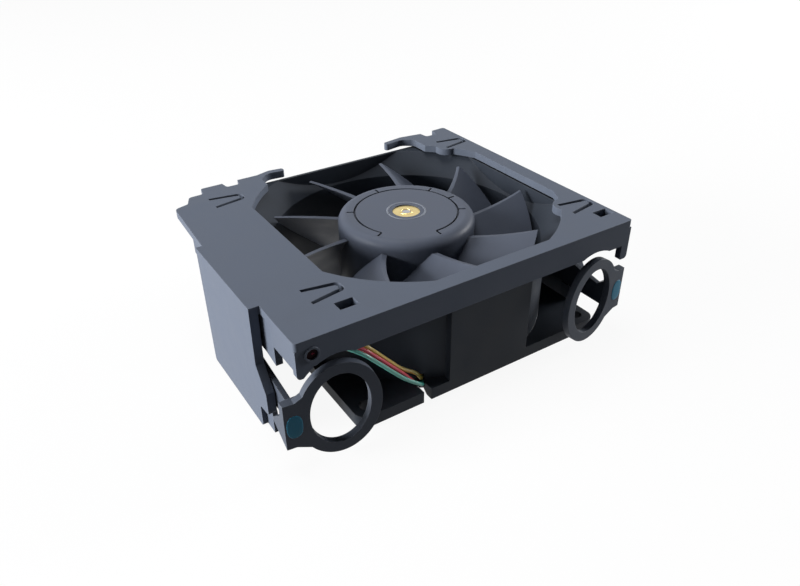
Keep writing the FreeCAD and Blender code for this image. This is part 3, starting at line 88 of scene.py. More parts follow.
# A low pad's rim, as (share of its half width, share of its height), from below its seat to its top.
BUTTON_PROFILE = ((1.0, -0.4), (1.0, 0.35), (0.985, 0.7), (0.95, 0.92), (0.88, 1.0), (0.5, 1.03))
BUTTON_SIDES = 64
BUTTON_SQUARENESS = 0.8

# How deep a raised mark starts below the surface that it sits on, and how many sides a round one has.
SUNK = 0.1 * MM
DISC_SIDES = 40


class Body(Enum):
    """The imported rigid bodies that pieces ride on."""

    MODULE = "module"
    ROTOR = "rotor"
    LEFT_ARM = "left_latch_arm"
    RIGHT_ARM = "right_latch_arm"


class Texture(Enum):
    """The kinds of surface relief that a finish can have."""

    MOULDED = "moulded"
    BRUSHED = "brushed"
    TURNED = "turned"
    WOUND = "wound"


def srgb(red: float, green: float, blue: float) -> tuple[float, float, float, float]:
    """Turn display levels into a linear colour.

    Args:
        red: Red level from 0 to 255.
        green: Green level from 0 to 255.
        blue: Blue level from 0 to 255.

    Returns:
        The linear colour with full alpha.
    """
    def linear(level: float) -> float:
        """Turn one display level into its linear share."""
        share = level / 255
        return share / 12.92 if share <= 0.04045 else ((share + 0.055) / 1.055) ** 2.4

    return linear(red), linear(green), linear(blue), 1.0


@dataclass(frozen=True)
class Finish:
    """A surface finish, from which one procedural material is made."""

    name: str
    colour: tuple[float, float, float]
    roughness: float = 0.5
    texture: Texture = Texture.MOULDED
    grain_mm: float = 0.35
    relief: float = 0.25
    mottle: float = 0.08
    wear: float = 0.18
    metallic: float = 0.0
    specular: float = 0.5
    coat: float = 0.0
    edge_mm: float = 0.25
    # How far painted shade darkens the colour in slots and corners, from 0 for none.
    cavity_shade_depth: float = 0.75


CARRIER = Finish("carrier_plastic", (84, 91, 104), roughness=0.58, relief=0.35, mottle=0.06, specular=0.14)
LATCH = Finish("latch_plastic", (68, 74, 85), roughness=0.5, relief=0.3, wear=0.3, specular=0.14)
FRAME = Finish("frame_plastic", (42, 47, 55), roughness=0.5, relief=0.2, wear=0.22, specular=0.12)
IMPELLER = Finish("impeller_plastic", (80, 86, 99), roughness=0.48, relief=0.15, wear=0.2, specular=0.14)
BRASS = Finish("turned_brass", (200, 166, 98), roughness=0.32, texture=Texture.TURNED, grain_mm=0.12,
               relief=0.3, mottle=0.12, wear=0.2, metallic=1.0)
PEENED = Finish("peened_brass", (222, 190, 132), roughness=0.3, texture=Texture.MOULDED, grain_mm=0.8,
                relief=1.0, mottle=0.3, wear=0.3, metallic=1.0, cavity_shade_depth=0.0)
WITNESS = Finish("witness_mark", (104, 110, 122), roughness=0.4, relief=0.6, mottle=0.2, specular=0.2)
SHAFT = Finish("shaft_steel", (176, 176, 180), roughness=0.28, texture=Texture.TURNED, grain_mm=0.1,
               relief=0.2, mottle=0.06, wear=0.1, metallic=1.0)
YOKE = Finish("yoke_steel", (128, 128, 132), roughness=0.4, texture=Texture.BRUSHED, grain_mm=0.2,
              relief=0.2, mottle=0.1, wear=0.15, metallic=1.0)
MAGNET = Finish("ferrite", (58, 55, 54), roughness=0.7, relief=0.4, mottle=0.15)
SPRING = Finish("spring_steel", (150, 150, 152), roughness=0.3, texture=Texture.BRUSHED, grain_mm=0.15,
                relief=0.15, mottle=0.08, wear=0.1, metallic=1.0)
NYLON = Finish("natural_nylon", (214, 210, 198), roughness=0.45, relief=0.15)
BEARING = Finish("bearing_steel", (190, 190, 194), roughness=0.2, texture=Texture.TURNED, grain_mm=0.08,
                 relief=0.15, mottle=0.05, wear=0.1, metallic=1.0)
LAMINATION = Finish("laminations", (118, 118, 124), roughness=0.45, texture=Texture.WOUND, grain_mm=0.35,
                    relief=0.6, mottle=0.1, wear=0.1, metallic=1.0)
INSULATOR = Finish("insulator_plastic", (200, 194, 174), roughness=0.5, relief=0.2)
WINDING = Finish("copper_winding", (168, 92, 52), roughness=0.35, texture=Texture.WOUND, grain_mm=0.28,
                 relief=0.9, mottle=0.15, wear=0.2, metallic=1.0, coat=0.5)
BOARD = Finish("solder_mask", (24, 92, 52), roughness=0.3, relief=0.15, mottle=0.2, coat=0.3)
CHIP = Finish("moulding_epoxy", (34, 34, 36), roughness=0.6, relief=0.3)
PLUG = Finish("plug_plastic", (40, 41, 45), roughness=0.45, relief=0.25)
CONTACT = Finish("contact_plating", (206, 176, 112), roughness=0.25, texture=Texture.TURNED, grain_mm=0.1,
                 relief=0.1, mottle=0.06, wear=0.1, metallic=1.0)
LAMP = Finish("lamp_lens", (30, 8, 15), roughness=0.35, relief=0.03, wear=0.0, specular=0.02, cavity_shade_depth=0.0)
# A painted reddish glint on the lamp's lens.
LAMP_GLINT = Finish("painted_lamp_glint", (166, 62, 84), roughness=0.4, relief=0.1, wear=0.0, specular=0.1, cavity_shade_depth=0.0)
RED = Finish("red_insulation", (226, 26, 68), roughness=0.34, relief=0.08, mottle=0.08, coat=0.2)
BLACK = Finish("black_insulation", (34, 36, 42), roughness=0.34, relief=0.08, coat=0.2)
YELLOW = Finish("yellow_insulation", (240, 214, 96), roughness=0.34, relief=0.08, mottle=0.08, coat=0.2)
TEAL = Finish("teal_insulation", (78, 178, 162), roughness=0.34, relief=0.08, mottle=0.08, coat=0.2)
TOUCH = Finish("touch_dot", (34, 116, 146), roughness=0.4, relief=0.06, mottle=0.08, specular=0.15,
               cavity_shade_depth=0.0)

NODE_FINISHES = {
    "carrier": CARRIER, "latch_left": LATCH, "latch_right": LATCH,
    "fan_frame": FRAME, "impeller": IMPELLER, "hub_bush": PEENED, "shaft": SHAFT,
    "rotor_yoke": YOKE, "rotor_magnet": MAGNET, "preload_washer": SPRING, "shaft_clip": NYLON,
    "bearing_tube": BRASS, "bearing_lower": BEARING, "bearing_upper": BEARING,
    "stator_core": LAMINATION, "stator_insulators": INSULATOR, "stator_coils": WINDING,
    "motor_board": BOARD, "board_chips": CHIP,
    "wire_red": RED, "wire_black": BLACK, "wire_yellow": YELLOW, "wire_teal": TEAL,
    "plug_housing": PLUG, "plug_contacts": CONTACT,
    "status_lamp": LAMP, "lamp_wire_a": BLACK, "lamp_wire_b": RED,
}


class NodeTree:
    """A thin layer over a node tree that places nodes and links sockets by name."""

    def __init__(self, tree: bpy.types.NodeTree) -> None:
        """Start from an empty tree.

        Args:
            tree: The tree to fill.
        """
        self.tree = tree
        self.tree.nodes.clear()
        self.column = 0

    def add(self, kind: str, settings: dict | None = None, **inputs: object) -> bpy.types.Node:
        """Add a node.

        Args:
            kind: The node's type name.
            settings: Properties of the node itself.
            **inputs: Socket values or sockets to link, by name with underscores for spaces.

        Returns:
            The new node.
        """
        node = self.tree.nodes.new(kind)
        node.location = (self.column * 190, -(self.column % 4) * 120)
        self.column += 1
        for name, value in (settings or {}).items():
            setattr(node, name, value)
        for name, value in inputs.items():
            self.feed(self.socket(node, name), value)
        return node

    @staticmethod
    def socket(node: bpy.types.Node, name: str) -> bpy.types.NodeSocket:
        """Find an input socket by name or by number.

        Args:
            node: The node that has it.
            name: Its name with underscores for spaces, or "n" and its index.

        Returns:
            The socket.
        """
        if name[0] == "n" and name[1:].isdigit():
            return node.inputs[int(name[1:])]
        return node.inputs[name.replace("_", " ")]

    def feed(self, socket: bpy.types.NodeSocket, value: object) -> None:
        """Link a socket to a socket, or set its value.

        Args:
            socket: The input socket.
            value: An output socket or a plain value.
        """
        if isinstance(value, bpy.types.NodeSocket):
            self.tree.links.new(value, socket)
        else:
            socket.default_value = value


def relief_group(texture: Texture) -> bpy.types.NodeTree:
    """Build the shared node group that makes one kind of surface relief.

    Args:
        texture: The kind of relief.

    Returns:
        A group with inputs Vector and Scale and outputs Height and Mottle.
    """
    group = bpy.data.node_groups.new(f"relief_{texture.value}", "ShaderNodeTree")
    group.interface.new_socket("Vector", in_out="INPUT", socket_type="NodeSocketVector")
    group.interface.new_socket("Scale", in_out="INPUT", socket_type="NodeSocketFloat")
    group.interface.new_socket("Height", in_out="OUTPUT", socket_type="NodeSocketFloat")
    group.interface.new_socket("Mottle", in_out="OUTPUT", socket_type="NodeSocketFloat")
    tree = NodeTree(group)
    start = tree.add("NodeGroupInput").outputs
    place = start["Vector"]
    if texture is Texture.BRUSHED:
        place = tree.add("ShaderNodeMapping", Vector=place, Scale=(0.05, 1.0, 1.0)).outputs[0]
    fine = tree.add("ShaderNodeTexNoise", Vector=place, Scale=start["Scale"], Detail=3.0,
                    Roughness=0.6).outputs[0]
    if texture is Texture.MOULDED:
        cells = tree.add("ShaderNodeTexVoronoi", {"feature": "SMOOTH_F1"}, Vector=place, Scale=start["Scale"])
        height = tree.add("ShaderNodeMix", {"data_type": "FLOAT"}, n0=0.5, n2=fine,
                          n3=cells.outputs[0]).outputs[0]
    elif texture is Texture.TURNED:
        height = ring_waves(tree, place, start["Scale"], fine)
    elif texture is Texture.WOUND:
        wave = tree.add("ShaderNodeTexWave", {"bands_direction": "Z"}, Vector=place, Scale=start["Scale"],
                        Distortion=0.1)
        height = wave.outputs["Fac"]
    else:
        height = fine
    broad = tree.add("ShaderNodeTexNoise", Vector=start["Vector"], Scale=MOTTLE_SCALE, Detail=4.0,
                     Roughness=0.65).outputs[0]
    tree.add("NodeGroupOutput", Height=height, Mottle=broad)
    return group


def ring_waves(tree: NodeTree, place: bpy.types.NodeSocket, scale: bpy.types.NodeSocket,
               noise: bpy.types.NodeSocket) -> bpy.types.NodeSocket:
    """Add the fine rings that a lathe leaves round the Z axis.

    Args:
        tree: The tree to add to.
        place: The surface position.
        scale: The grain's scale.
        noise: A noise that breaks the rings up.

    Returns:
        The height socket.
    """
    parts = tree.add("ShaderNodeSeparateXYZ", Vector=place).outputs
    flat = tree.add("ShaderNodeCombineXYZ", X=parts["X"], Y=parts["Y"]).outputs[0]
    radius = tree.add("ShaderNodeVectorMath", {"operation": "LENGTH"}, n0=flat).outputs["Value"]
    along = tree.add("ShaderNodeMath", {"operation": "ADD"}, n0=radius, n1=parts["Z"]).outputs[0]
    phase = tree.add("ShaderNodeMath", {"operation": "MULTIPLY"}, n0=along, n1=scale).outputs[0]
    rough = tree.add("ShaderNodeMath", {"operation": "MULTIPLY_ADD"}, n0=noise, n1=2.0, n2=phase).outputs[0]
    sine = tree.add("ShaderNodeMath", {"operation": "SINE"}, n0=rough).outputs[0]
    return tree.add("ShaderNodeMath", {"operation": "MULTIPLY_ADD"}, n0=sine, n1=0.5, n2=0.5).outputs[0]


def edge_wear_group() -> bpy.types.NodeTree:
    """Build the shared node group that finds worn edges.

    An edge is near where a wide rounding of the surface departs from its true normal.

    Returns:
        A group with inputs Radius, Mottle and Wear and output Mask.
    """
    group = bpy.data.node_groups.new("edge_wear", "ShaderNodeTree")
    for name in ("Radius", "Mottle", "Wear"):
        group.interface.new_socket(name, in_out="INPUT", socket_type="NodeSocketFloat")
    group.interface.new_socket("Mask", in_out="OUTPUT", socket_type="NodeSocketFloat")
    tree = NodeTree(group)
    start = tree.add("NodeGroupInput").outputs
    soft = tree.add("ShaderNodeBevel", {"samples": BEVEL_SAMPLES}, Radius=start["Radius"]).outputs[0]
    true = tree.add("ShaderNodeNewGeometry").outputs["True Normal"]
    facing = tree.add("ShaderNodeVectorMath", {"operation": "DOT_PRODUCT"}, n0=soft, n1=true).outputs["Value"]
    edge = tree.add("ShaderNodeMapRange", Value=facing, From_Min=0.995, From_Max=0.8, To_Min=0.0,
                    To_Max=1.0).outputs[0]
    broken = tree.add("ShaderNodeMapRange", Value=start["Mottle"], From_Min=0.35, From_Max=0.6, To_Min=0.4,
                      To_Max=1.0).outputs[0]
    patchy = tree.add("ShaderNodeMath", {"operation": "MULTIPLY"}, n0=edge, n1=broken).outputs[0]
    mask = tree.add("ShaderNodeMath", {"operation": "MULTIPLY"}, n0=patchy, n1=start["Wear"]).outputs[0]
    tree.add("NodeGroupOutput", Mask=mask)
    return group


def painted_cavity_shade_group() -> bpy.types.NodeTree:
    """Build the shared node group that paints shade into narrow slots and inner corners, darkening the colour
    where ambient occlusion is low.

    Returns:
        A group with inputs Color and Depth and output Color.
    """
    group = bpy.data.node_groups.new("cavity_shade", "ShaderNodeTree")
    group.interface.new_socket("Color", in_out="INPUT", socket_type="NodeSocketColor")
    group.interface.new_socket("Depth", in_out="INPUT", socket_type="NodeSocketFloat")
    group.interface.new_socket("Color", in_out="OUTPUT", socket_type="NodeSocketColor")
    tree = NodeTree(group)
    start = tree.add("NodeGroupInput").outputs
    open_sky = tree.add("ShaderNodeAmbientOcclusion", {"samples": CAVITY_SAMPLES},
                        Distance=CAVITY_REACH).outputs["AO"]
    darkest = tree.add("ShaderNodeMath", {"operation": "SUBTRACT"}, n0=1.0, n1=start["Depth"]).outputs[0]
    shade = tree.add("ShaderNodeMapRange", Value=open_sky, From_Min=0.15, From_Max=0.75, To_Min=darkest,
                     To_Max=1.0).outputs[0]
    grey = tree.add("ShaderNodeCombineColor", n0=shade, n1=shade, n2=shade).outputs[0]
    shaded = tree.add("ShaderNodeMix", {"data_type": "RGBA", "blend_type": "MULTIPLY"}, n0=1.0,
                      n6=start["Color"], n7=grey).outputs[2]
    tree.add("NodeGroupOutput", Color=shaded)
    return group


class Paintbox:
    """Make each finish's material once and hand it out."""

    def __init__(self) -> None:
        """Start with no materials and with the groups that they all share."""
        self.materials: dict[str, bpy.types.Material] = {}
        self.reliefs: dict[Texture, bpy.types.NodeTree] = {}
        self.edge_wear = edge_wear_group()
        self.painted_cavity_shade = painted_cavity_shade_group()

    def relief(self, texture: Texture) -> bpy.types.NodeTree:
        """Return the shared group for a kind of relief.

        Args:
            texture: The kind of relief.

        Returns:
            The node group.
        """
        if texture not in self.reliefs:
            self.reliefs[texture] = relief_group(texture)
        return self.reliefs[texture]

    def material(self, finish: Finish) -> bpy.types.Material:
        """Return the material of a finish.

        Args:
            finish: The finish.

        Returns:
            Its material.
        """
        if finish.name not in self.materials:
            self.materials[finish.name] = self.mix(finish)
        return self.materials[finish.name]

    def mix(self, finish: Finish) -> bpy.types.Material:
        """Build a finish's node tree.

        Args:
            finish: The finish.

        Returns:
            The new material.
        """
        material = bpy.data.materials.new(finish.name)
        material.use_nodes = True
        tree = NodeTree(material.node_tree)
        place = tree.add("ShaderNodeTexCoord").outputs["Object"]
        relief = tree.add("ShaderNodeGroup", {"node_tree": self.relief(finish.texture)}, Vector=place,
                          Scale=1 / (finish.grain_mm * MM))
        height, mottle = relief.outputs["Height"], relief.outputs["Mottle"]
        base = srgb(*finish.colour)
        deep = tuple(c * (1 - 2 * finish.mottle) for c in base[:3]) + (1.0,)
        pale = tuple(min(1.0, c * (1 + 2 * finish.mottle)) for c in base[:3]) + (1.0,)
        colour = tree.add("ShaderNodeMix", {"data_type": "RGBA"}, n0=mottle, n6=deep, n7=pale).outputs[2]
        edge = tree.add("ShaderNodeGroup", {"node_tree": self.edge_wear}, Mottle=mottle, Wear=finish.wear,
                        Radius=finish.edge_mm * WEAR_REACH * MM).outputs[0]
        worn = tuple(c + (WORN_LEVEL - c) * WORN_SHARE for c in base[:3]) + (1.0,)
        colour = tree.add("ShaderNodeMix", {"data_type": "RGBA"}, n0=edge, n6=colour, n7=worn).outputs[2]
        # Painted shade: darken the colour in slots and corners that the ambient occlusion finds.
        colour = tree.add("ShaderNodeGroup", {"node_tree": self.painted_cavity_shade}, Color=colour,
                          Depth=finish.cavity_shade_depth).outputs[0]
        rough = tree.add("ShaderNodeMapRange", Value=mottle, From_Min=0.3, From_Max=0.7,
                         To_Min=finish.roughness * 0.85, To_Max=min(1.0, finish.roughness * 1.15)).outputs[0]
        round_edge = tree.add("ShaderNodeBevel", {"samples": BEVEL_SAMPLES},
                              Radius=finish.edge_mm * MM).outputs[0]
        bump = tree.add("ShaderNodeBump", Strength=finish.relief, Distance=BUMP_DEPTH, Height=height,
                        Normal=round_edge).outputs[0]
        shader = tree.add("ShaderNodeBsdfPrincipled", Base_Color=colour, Roughness=rough,
                          Metallic=finish.metallic, Normal=bump)
        shader.inputs["Specular IOR Level"].default_value = finish.specular
        shader.inputs["Coat Weight"].default_value = finish.coat
        shader.inputs["Coat Roughness"].default_value = COAT_ROUGHNESS
        tree.add("ShaderNodeOutputMaterial", Surface=shader.outputs[0])
        material.diffuse_color = base
        return material


def add_piece(name: str, mesh: bpy.types.Mesh, material: bpy.types.Material, body: Body) -> bpy.types.Object:
    """Put a finished mesh in the scene at the origin and let it ride on a body.

    Args:
        name: The piece's name.
        mesh: Its mesh, in the row frame.
        material: Its material.
        body: The body that carries it.

    Returns:
        The new object.
    """
    mesh.materials.clear()
    mesh.materials.append(material)
    piece = bpy.data.objects.new(name, mesh)
    bpy.context.scene.collection.objects.link(piece)
    LOG.info("%s rides on %s", name, body.value)
    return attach(piece, body.value)


def oval_button(name: str, place: Matrix, half_width: float, half_height: float,
                proud: float) -> bpy.types.Mesh:
    """Build a low oval pad with a rounded rim.

    Args:
        name: The mesh's name.
        place: Where it is: its local Z points out of the face it sits on.
        half_width: Half its width.
        half_height: Half its height.
        proud: How far it stands out.

    Returns:
        The mesh.
    """
    shape = bmesh.new()
    turns = [2 * math.pi * i / BUTTON_SIDES for i in range(BUTTON_SIDES)]
    across = [math.copysign(abs(math.cos(a)) ** BUTTON_SQUARENESS, math.cos(a)) for a in turns]
    up = [math.copysign(abs(math.sin(a)) ** BUTTON_SQUARENESS, math.sin(a)) for a in turns]
    rings = [[shape.verts.new(place @ Vector((share * half_width * x, share * half_height * y, rise * proud)))
              for x, y in zip(across, up)] for share, rise in BUTTON_PROFILE]
    for low, high in zip(rings, rings[1:]):
        for i in range(BUTTON_SIDES):
            j = (i + 1) % BUTTON_SIDES
            shape.faces.new((low[i], low[j], high[j], high[i]))
    shape.faces.new(rings[-1])
    shape.faces.new(list(reversed(rings[0])))
    bmesh.ops.recalc_face_normals(shape, faces=shape.faces)
    mesh = bpy.data.meshes.new(name)
    shape.to_mesh(mesh)
    shape.free()
    mesh.polygons.foreach_set("use_smooth", [True] * len(mesh.polygons))
    return mesh


@dataclass
class Latch:
    """A finger-ring latch: its face plane is worked out from its packed box."""

    side: int
    node: str
    body: Body
    toe: float = math.radians(7.1)
    dot_inset: float = 2.7 * MM
    dot_z: float = 15.35 * MM
    dot_half_width: float = 2.2 * MM
    dot_half_height: float = 3.7 * MM
    dot_proud: float = 0.12 * MM

    def face(self) -> tuple[Vector, Vector, Vector]:
        """Work out the plane of the latch's front face.

        Returns:
            The face's outer corner at the frame's floor, the direction along it, and its outward normal.
        """
        low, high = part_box(self.node)
        corner_x = low.x if self.side < 0 else high.x
        corner_y = low.y + (high.x - low.x) * math.tan(self.toe)
        along = Vector((-self.side * math.cos(self.toe), -math.sin(self.toe), 0))
        outward = Vector((self.side * math.sin(self.toe), -math.cos(self.toe), 0))
        return Vector((corner_x, corner_y, 0)), along, outward

    def dress(self, paint: Paintbox) -> None:
        """Add the printed touch dot.

        Args:
            paint: The materials.
        """
        corner, along, outward = self.face()
        centre = corner + along * self.dot_inset + Vector((0, 0, self.dot_z))
        right = outward.cross(Vector((0, 0, 1))).normalized() * -1
        place = Matrix((right, Vector((0, 0, 1)), outward)).transposed().to_4x4()
        place.translation = centre
        name = "touch_dot_left" if self.side < 0 else "touch_dot_right"
        mesh = oval_button(name, place, self.dot_half_width, self.dot_half_height, self.dot_proud)
        add_piece(name, mesh, paint.material(TOUCH), self.body)


def disc_ring_tree() -> bpy.types.NodeTree:
    """Build the node tree that sets equal discs round a circle.

    Returns:
        A geometry tree with inputs Count, Radius, Disc Radius, Thickness, Height and Finish.
    """
    group = bpy.data.node_groups.new("disc_ring", "GeometryNodeTree")
    group.interface.new_socket("Geometry", in_out="OUTPUT", socket_type="NodeSocketGeometry")
    group.interface.new_socket("Count", in_out="INPUT", socket_type="NodeSocketInt")
    for name in ("Radius", "Disc Radius", "Thickness", "Height"):
        group.interface.new_socket(name, in_out="INPUT", socket_type="NodeSocketFloat")
    group.interface.new_socket("Finish", in_out="INPUT", socket_type="NodeSocketMaterial")
    tree = NodeTree(group)
    start = tree.add("NodeGroupInput").outputs
    spots = tree.add("GeometryNodeMeshCircle", Vertices=start["Count"], Radius=start["Radius"]).outputs[0]
    disc = tree.add("GeometryNodeMeshCylinder", Vertices=DISC_SIDES, Radius=start["Disc Radius"],
                    Depth=start["Thickness"])
    copies = tree.add("GeometryNodeInstanceOnPoints", Points=spots, Instance=disc.outputs[0]).outputs[0]
    solid = tree.add("GeometryNodeRealizeInstances", Geometry=copies).outputs[0]
    lift = tree.add("ShaderNodeCombineXYZ", Z=start["Height"]).outputs[0]
    placed = tree.add("GeometryNodeTransform", Geometry=solid, Translation=lift).outputs[0]
    tree.add("NodeGroupOutput", Geometry=tree.add(
        "GeometryNodeSetMaterial", Geometry=placed, Material=start["Finish"]).outputs[0])
    return group


def grown_mesh(name: str, group: bpy.types.NodeTree, **values: object) -> bpy.types.Mesh:
    """Run a geometry tree once and keep the plain mesh that it makes.

    Args:
        name: The mesh's name.
        group: The geometry tree.
        **values: The tree's inputs by name, with underscores for spaces.

    Returns:
        The mesh.
    """
    seed = bpy.data.objects.new(name + "_seed", bpy.data.meshes.new(name + "_seed"))
    bpy.context.scene.collection.objects.link(seed)
    modifier = seed.modifiers.new(group.name, "NODES")
    modifier.node_group = group
    sockets = {item.name: item.identifier for item in group.interface.items_tree if item.in_out == "INPUT"}
    for key, value in values.items():
        modifier[sockets[key.replace("_", " ")]] = value
    graph = bpy.context.evaluated_depsgraph_get()
    mesh = bpy.data.meshes.new_from_object(seed.evaluated_get(graph))
    mesh.name = name
    bpy.data.objects.remove(seed)
    return mesh


def turned_ring(name: str, outline: list[tuple[float, float]], sides: int = 96) -> bpy.types.Mesh:
    """Turn a closed outline of (radius, height) points round the fan's axis.

    Args:
        name: The mesh's name.
        outline: The outline's points in metres, none of them on the axis.
        sides: How many steps the turn takes.

    Returns:
        The mesh.
    """
    shape = bmesh.new()
    loops = [[shape.verts.new((r * math.cos(a), r * math.sin(a), z)) for r, z in outline]
             for a in (2 * math.pi * i / sides for i in range(sides))]
    for here, there in zip(loops, loops[1:] + loops[:1]):
        for i in range(len(outline)):
            j = (i + 1) % len(outline)
            shape.faces.new((here[i], here[j], there[j], there[i]))
    bmesh.ops.recalc_face_normals(shape, faces=shape.faces)
    mesh = bpy.data.meshes.new(name)
    shape.to_mesh(mesh)
    shape.free()
    mesh.polygons.foreach_set("use_smooth", [True] * len(mesh.polygons))
    return mesh


@dataclass
class Hub:
    """The marks on the hub's top: the press mark round the bush and the staked lip round the shaft."""

    bush_drop: float = 0.35 * MM
    mark_inner: float = 5.9 * MM
    mark_outer: float = 6.6 * MM
    mark_proud: float = 0.04 * MM
    lip_inner: float = 1.55 * MM
    lip_outer: float = 2.3 * MM
    lip_proud: float = 0.22 * MM
    lip_taper: float = 0.3 * MM
    lip_shoulder: float = 0.7

    def dress(self, paint: Paintbox) -> None:
        """Add the press mark on the hub and the staked lip round the shaft.

        Args:
            paint: The materials.
        """
        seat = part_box("hub_bush")[1].z
        top = seat + self.bush_drop
        mark = turned_ring("press_mark", [
            (self.mark_inner, top - SUNK), (self.mark_outer, top - SUNK),
            (self.mark_outer, top + self.mark_proud), (self.mark_inner, top + self.mark_proud)])
        add_piece("press_mark", mark, paint.material(WITNESS), Body.ROTOR)
        lip = turned_ring("staked_lip", [
            (self.lip_inner, seat - SUNK), (self.lip_outer, seat - SUNK),
            (self.lip_outer - self.lip_taper, seat + self.lip_proud * self.lip_shoulder),
            (self.lip_inner, seat + self.lip_proud)])
        add_piece("staked_lip", lip, paint.material(PEENED), Body.ROTOR)


@dataclass
class LampGlint:
    """A reddish disc on the status lamp's dark lens: a painted glint, shaped like the die inside."""

    half_width: float = 0.45 * MM
    half_height: float = 0.32 * MM
    proud: float = 0.03 * MM

    def dress(self, paint: Paintbox) -> None:
        """Set the painted glint on the lens's face, a little off its middle.

        Args:
            paint: The materials.
        """
        low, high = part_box("status_lamp")
        place = Matrix(((1, 0, 0), (0, 0, 1), (0, -1, 0))).transposed().to_4x4()
        place.translation = Vector(((low.x + high.x) / 2 + self.half_height, low.y, (low.z + high.z) / 2))
        mesh = oval_button("painted_lamp_glint", place, self.half_width, self.half_height, self.proud)
        add_piece("painted_lamp_glint", mesh, paint.material(LAMP_GLINT), Body.MODULE)


@dataclass
class MotorBase:
    """The ring of ejector marks that the mould leaves under the motor base."""

    count: int = 8
    share: float = 0.72
    mark_radius: float = 1.5 * MM
    proud: float = 0.05 * MM

    def dress(self, paint: Paintbox) -> None:
        """Set the marks round the base's middle.

        Args:
            paint: The materials.
        """
        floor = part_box("fan_frame")[0].z
        reach = self.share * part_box("rotor_yoke")[1].x
        finish = paint.material(FRAME)
        mesh = grown_mesh("ejector_marks", disc_ring_tree(), Count=self.count, Radius=reach,
                          Disc_Radius=self.mark_radius, Thickness=2 * self.proud, Height=floor, Finish=finish)
        add_piece("ejector_marks", mesh, finish, Body.MODULE)


@dataclass(frozen=True)
class Softbox:
    """A round soft light: its place and width in metres and its power in watts."""

    name: str
    place: tuple[float, float, float]
    power: float
    width: float


SOFTBOXES = (
    Softbox("left_softbox", (-0.86, 0.2, 0.18), power=19.0, width=0.5),
    Softbox("right_softbox", (0.95, -0.12, 0.2), power=11.0, width=0.4),
    Softbox("top_softbox", (-0.1, 0.25, 1.05), power=6.5, width=0.7),
)


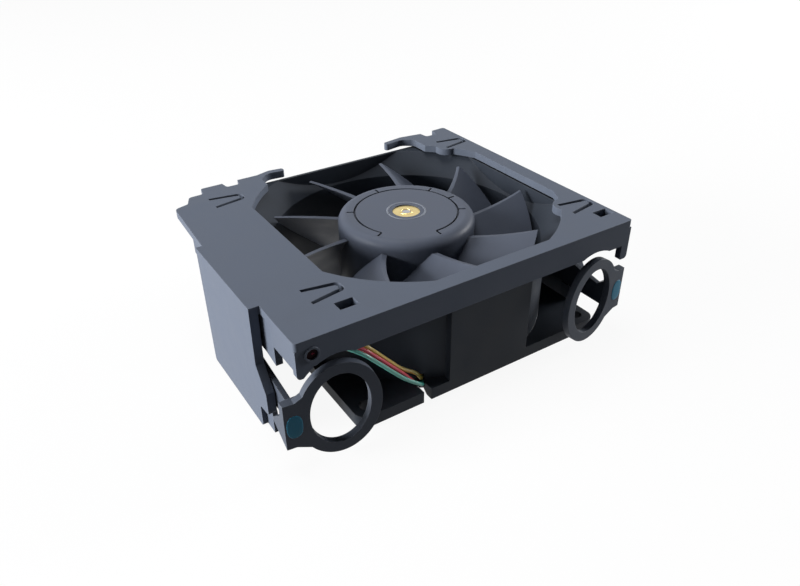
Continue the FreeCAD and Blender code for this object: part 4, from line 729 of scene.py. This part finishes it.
@dataclass
class Studio:
    """The floor, the soft lights, the world and the camera, whose place is in millimetres."""

    floor_side: float = 6.0
    floor_drop: float = 0.2 * MM
    floor_glow: float = 0.92
    room_strength: float = 0.035
    camera_place: tuple[float, float, float] = (-116.9, -177.9, 142.5)
    azimuth: float = 32.67
    elevation: float = -32.78
    roll: float = -0.65
    lens: float = 32.22
    sensor_width: float = 36.0
    clip_start: float = 0.01

    def floor(self) -> None:
        """Lay a pale floor that reads as white and keeps the object's soft shadow."""
        half = self.floor_side / 2
        mesh = bpy.data.meshes.new("floor")
        corners = [(-half, -half, 0), (half, -half, 0), (half, half, 0), (-half, half, 0)]
        mesh.from_pydata(corners, [], [(0, 1, 2, 3)])
        floor = bpy.data.objects.new("floor", mesh)
        floor.location.z = -self.floor_drop
        bpy.context.scene.collection.objects.link(floor)
        material = bpy.data.materials.new("studio_floor")
        material.use_nodes = True
        tree = NodeTree(material.node_tree)
        dim = tree.add("ShaderNodeBsdfDiffuse", Color=(0.09, 0.09, 0.094, 1))
        pale = tree.add("ShaderNodeBsdfDiffuse", Color=(0.8, 0.8, 0.81, 1))
        glow = tree.add("ShaderNodeEmission", Color=(1, 1, 1, 1), Strength=1.0)
        shown = tree.add("ShaderNodeMixShader", n0=self.floor_glow, n1=pale.outputs[0], n2=glow.outputs[0])
        top = tree.add("ShaderNodeMixShader", n0=seen_ray(tree), n1=dim.outputs[0], n2=shown.outputs[0])
        clear = tree.add("ShaderNodeBsdfTransparent", Color=(1, 1, 1, 1))
        below = tree.add("ShaderNodeNewGeometry").outputs["Backfacing"]
        both = tree.add("ShaderNodeMixShader", n0=below, n1=top.outputs[0], n2=clear.outputs[0])
        tree.add("ShaderNodeOutputMaterial", Surface=both.outputs[0])
        mesh.materials.append(material)
        floor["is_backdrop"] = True

    def world(self) -> None:
        """Light the room evenly and show white where the camera sees past the floor."""
        world = bpy.data.worlds.new("room")
        world.use_nodes = True
        bpy.context.scene.world = world
        tree = NodeTree(world.node_tree)
        room = tree.add("ShaderNodeBackground", Color=(0.93, 0.95, 1.0, 1), Strength=self.room_strength)
        white = tree.add("ShaderNodeBackground", Color=(1, 1, 1, 1), Strength=1.0)
        both = tree.add("ShaderNodeMixShader", n0=seen_ray(tree), n1=room.outputs[0], n2=white.outputs[0])
        tree.add("ShaderNodeOutputWorld", Surface=both.outputs[0])

    @staticmethod
    def lamps() -> None:
        """Hang the soft area lights, each aimed at the object's middle."""
        low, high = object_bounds()
        middle = (low + high) / 2
        for box in SOFTBOXES:
            data = bpy.data.lights.new(box.name, "AREA")
            data.shape = "DISK"
            data.size = box.width
            data.energy = box.power
            lamp = bpy.data.objects.new(box.name, data)
            lamp.location = box.place
            lamp.rotation_euler = (middle - Vector(box.place)).to_track_quat("-Z", "Y").to_euler()
            bpy.context.scene.collection.objects.link(lamp)

    def camera(self) -> None:
        """Stand the camera off the module's front left corner, looking down at it."""
        azimuth, elevation = math.radians(self.azimuth), math.radians(self.elevation)
        ahead = Vector((math.sin(azimuth) * math.cos(elevation), math.cos(azimuth) * math.cos(elevation),
                        math.sin(elevation)))
        right = ahead.cross(Vector((0, 0, 1))).normalized()
        right = Matrix.Rotation(math.radians(self.roll), 3, -ahead) @ right
        rotation = Matrix((right, right.cross(ahead), -ahead)).transposed()
        data = bpy.data.cameras.new("camera")
        data.lens = self.lens
        data.sensor_width = self.sensor_width
        data.clip_start = self.clip_start
        camera = bpy.data.objects.new("camera", data)
        camera.matrix_world = Matrix.Translation(Vector(self.camera_place) * MM) @ rotation.to_4x4()
        bpy.context.scene.collection.objects.link(camera)
        bpy.context.scene.camera = camera

    def build(self) -> None:
        """Set up the whole studio."""
        self.floor()
        self.world()
        self.lamps()
        self.camera()
        bpy.context.scene.view_settings.view_transform = "Standard"


def seen_ray(tree: NodeTree) -> bpy.types.NodeSocket:
    """Tell rays that show the surface, straight or in gloss or glass, from rays that only light things.

    Args:
        tree: The tree to add to.

    Returns:
        A factor that is 1 for camera, glossy and transmission rays.
    """
    path = tree.add("ShaderNodeLightPath").outputs
    first = tree.add("ShaderNodeMath", {"operation": "MAXIMUM"}, n0=path["Is Camera Ray"],
                     n1=path["Is Glossy Ray"]).outputs[0]
    return tree.add("ShaderNodeMath", {"operation": "MAXIMUM"}, n0=first,
                    n1=path["Is Transmission Ray"]).outputs[0]


def paint_nodes(nodes: dict[str, bpy.types.Object], paint: Paintbox) -> None:
    """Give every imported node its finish.

    Args:
        nodes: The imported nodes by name.
        paint: The materials.
    """
    for name, node in nodes.items():
        finish = NODE_FINISHES[name]
        for slot in node.material_slots:
            slot.material = paint.material(finish)
        LOG.info("%s has the finish %s", name, finish.name)


def main() -> None:
    """Load the frame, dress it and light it."""
    logging.basicConfig(level=logging.INFO)
    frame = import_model()
    paint = Paintbox()
    paint_nodes(frame["nodes"], paint)
    for latch in (Latch(-1, "latch_left", Body.LEFT_ARM), Latch(1, "latch_right", Body.RIGHT_ARM)):
        latch.dress(paint)
    Hub().dress(paint)
    MotorBase().dress(paint)
    LampGlint().dress(paint)
    Studio().build()


if __name__ == "__main__":
    main()
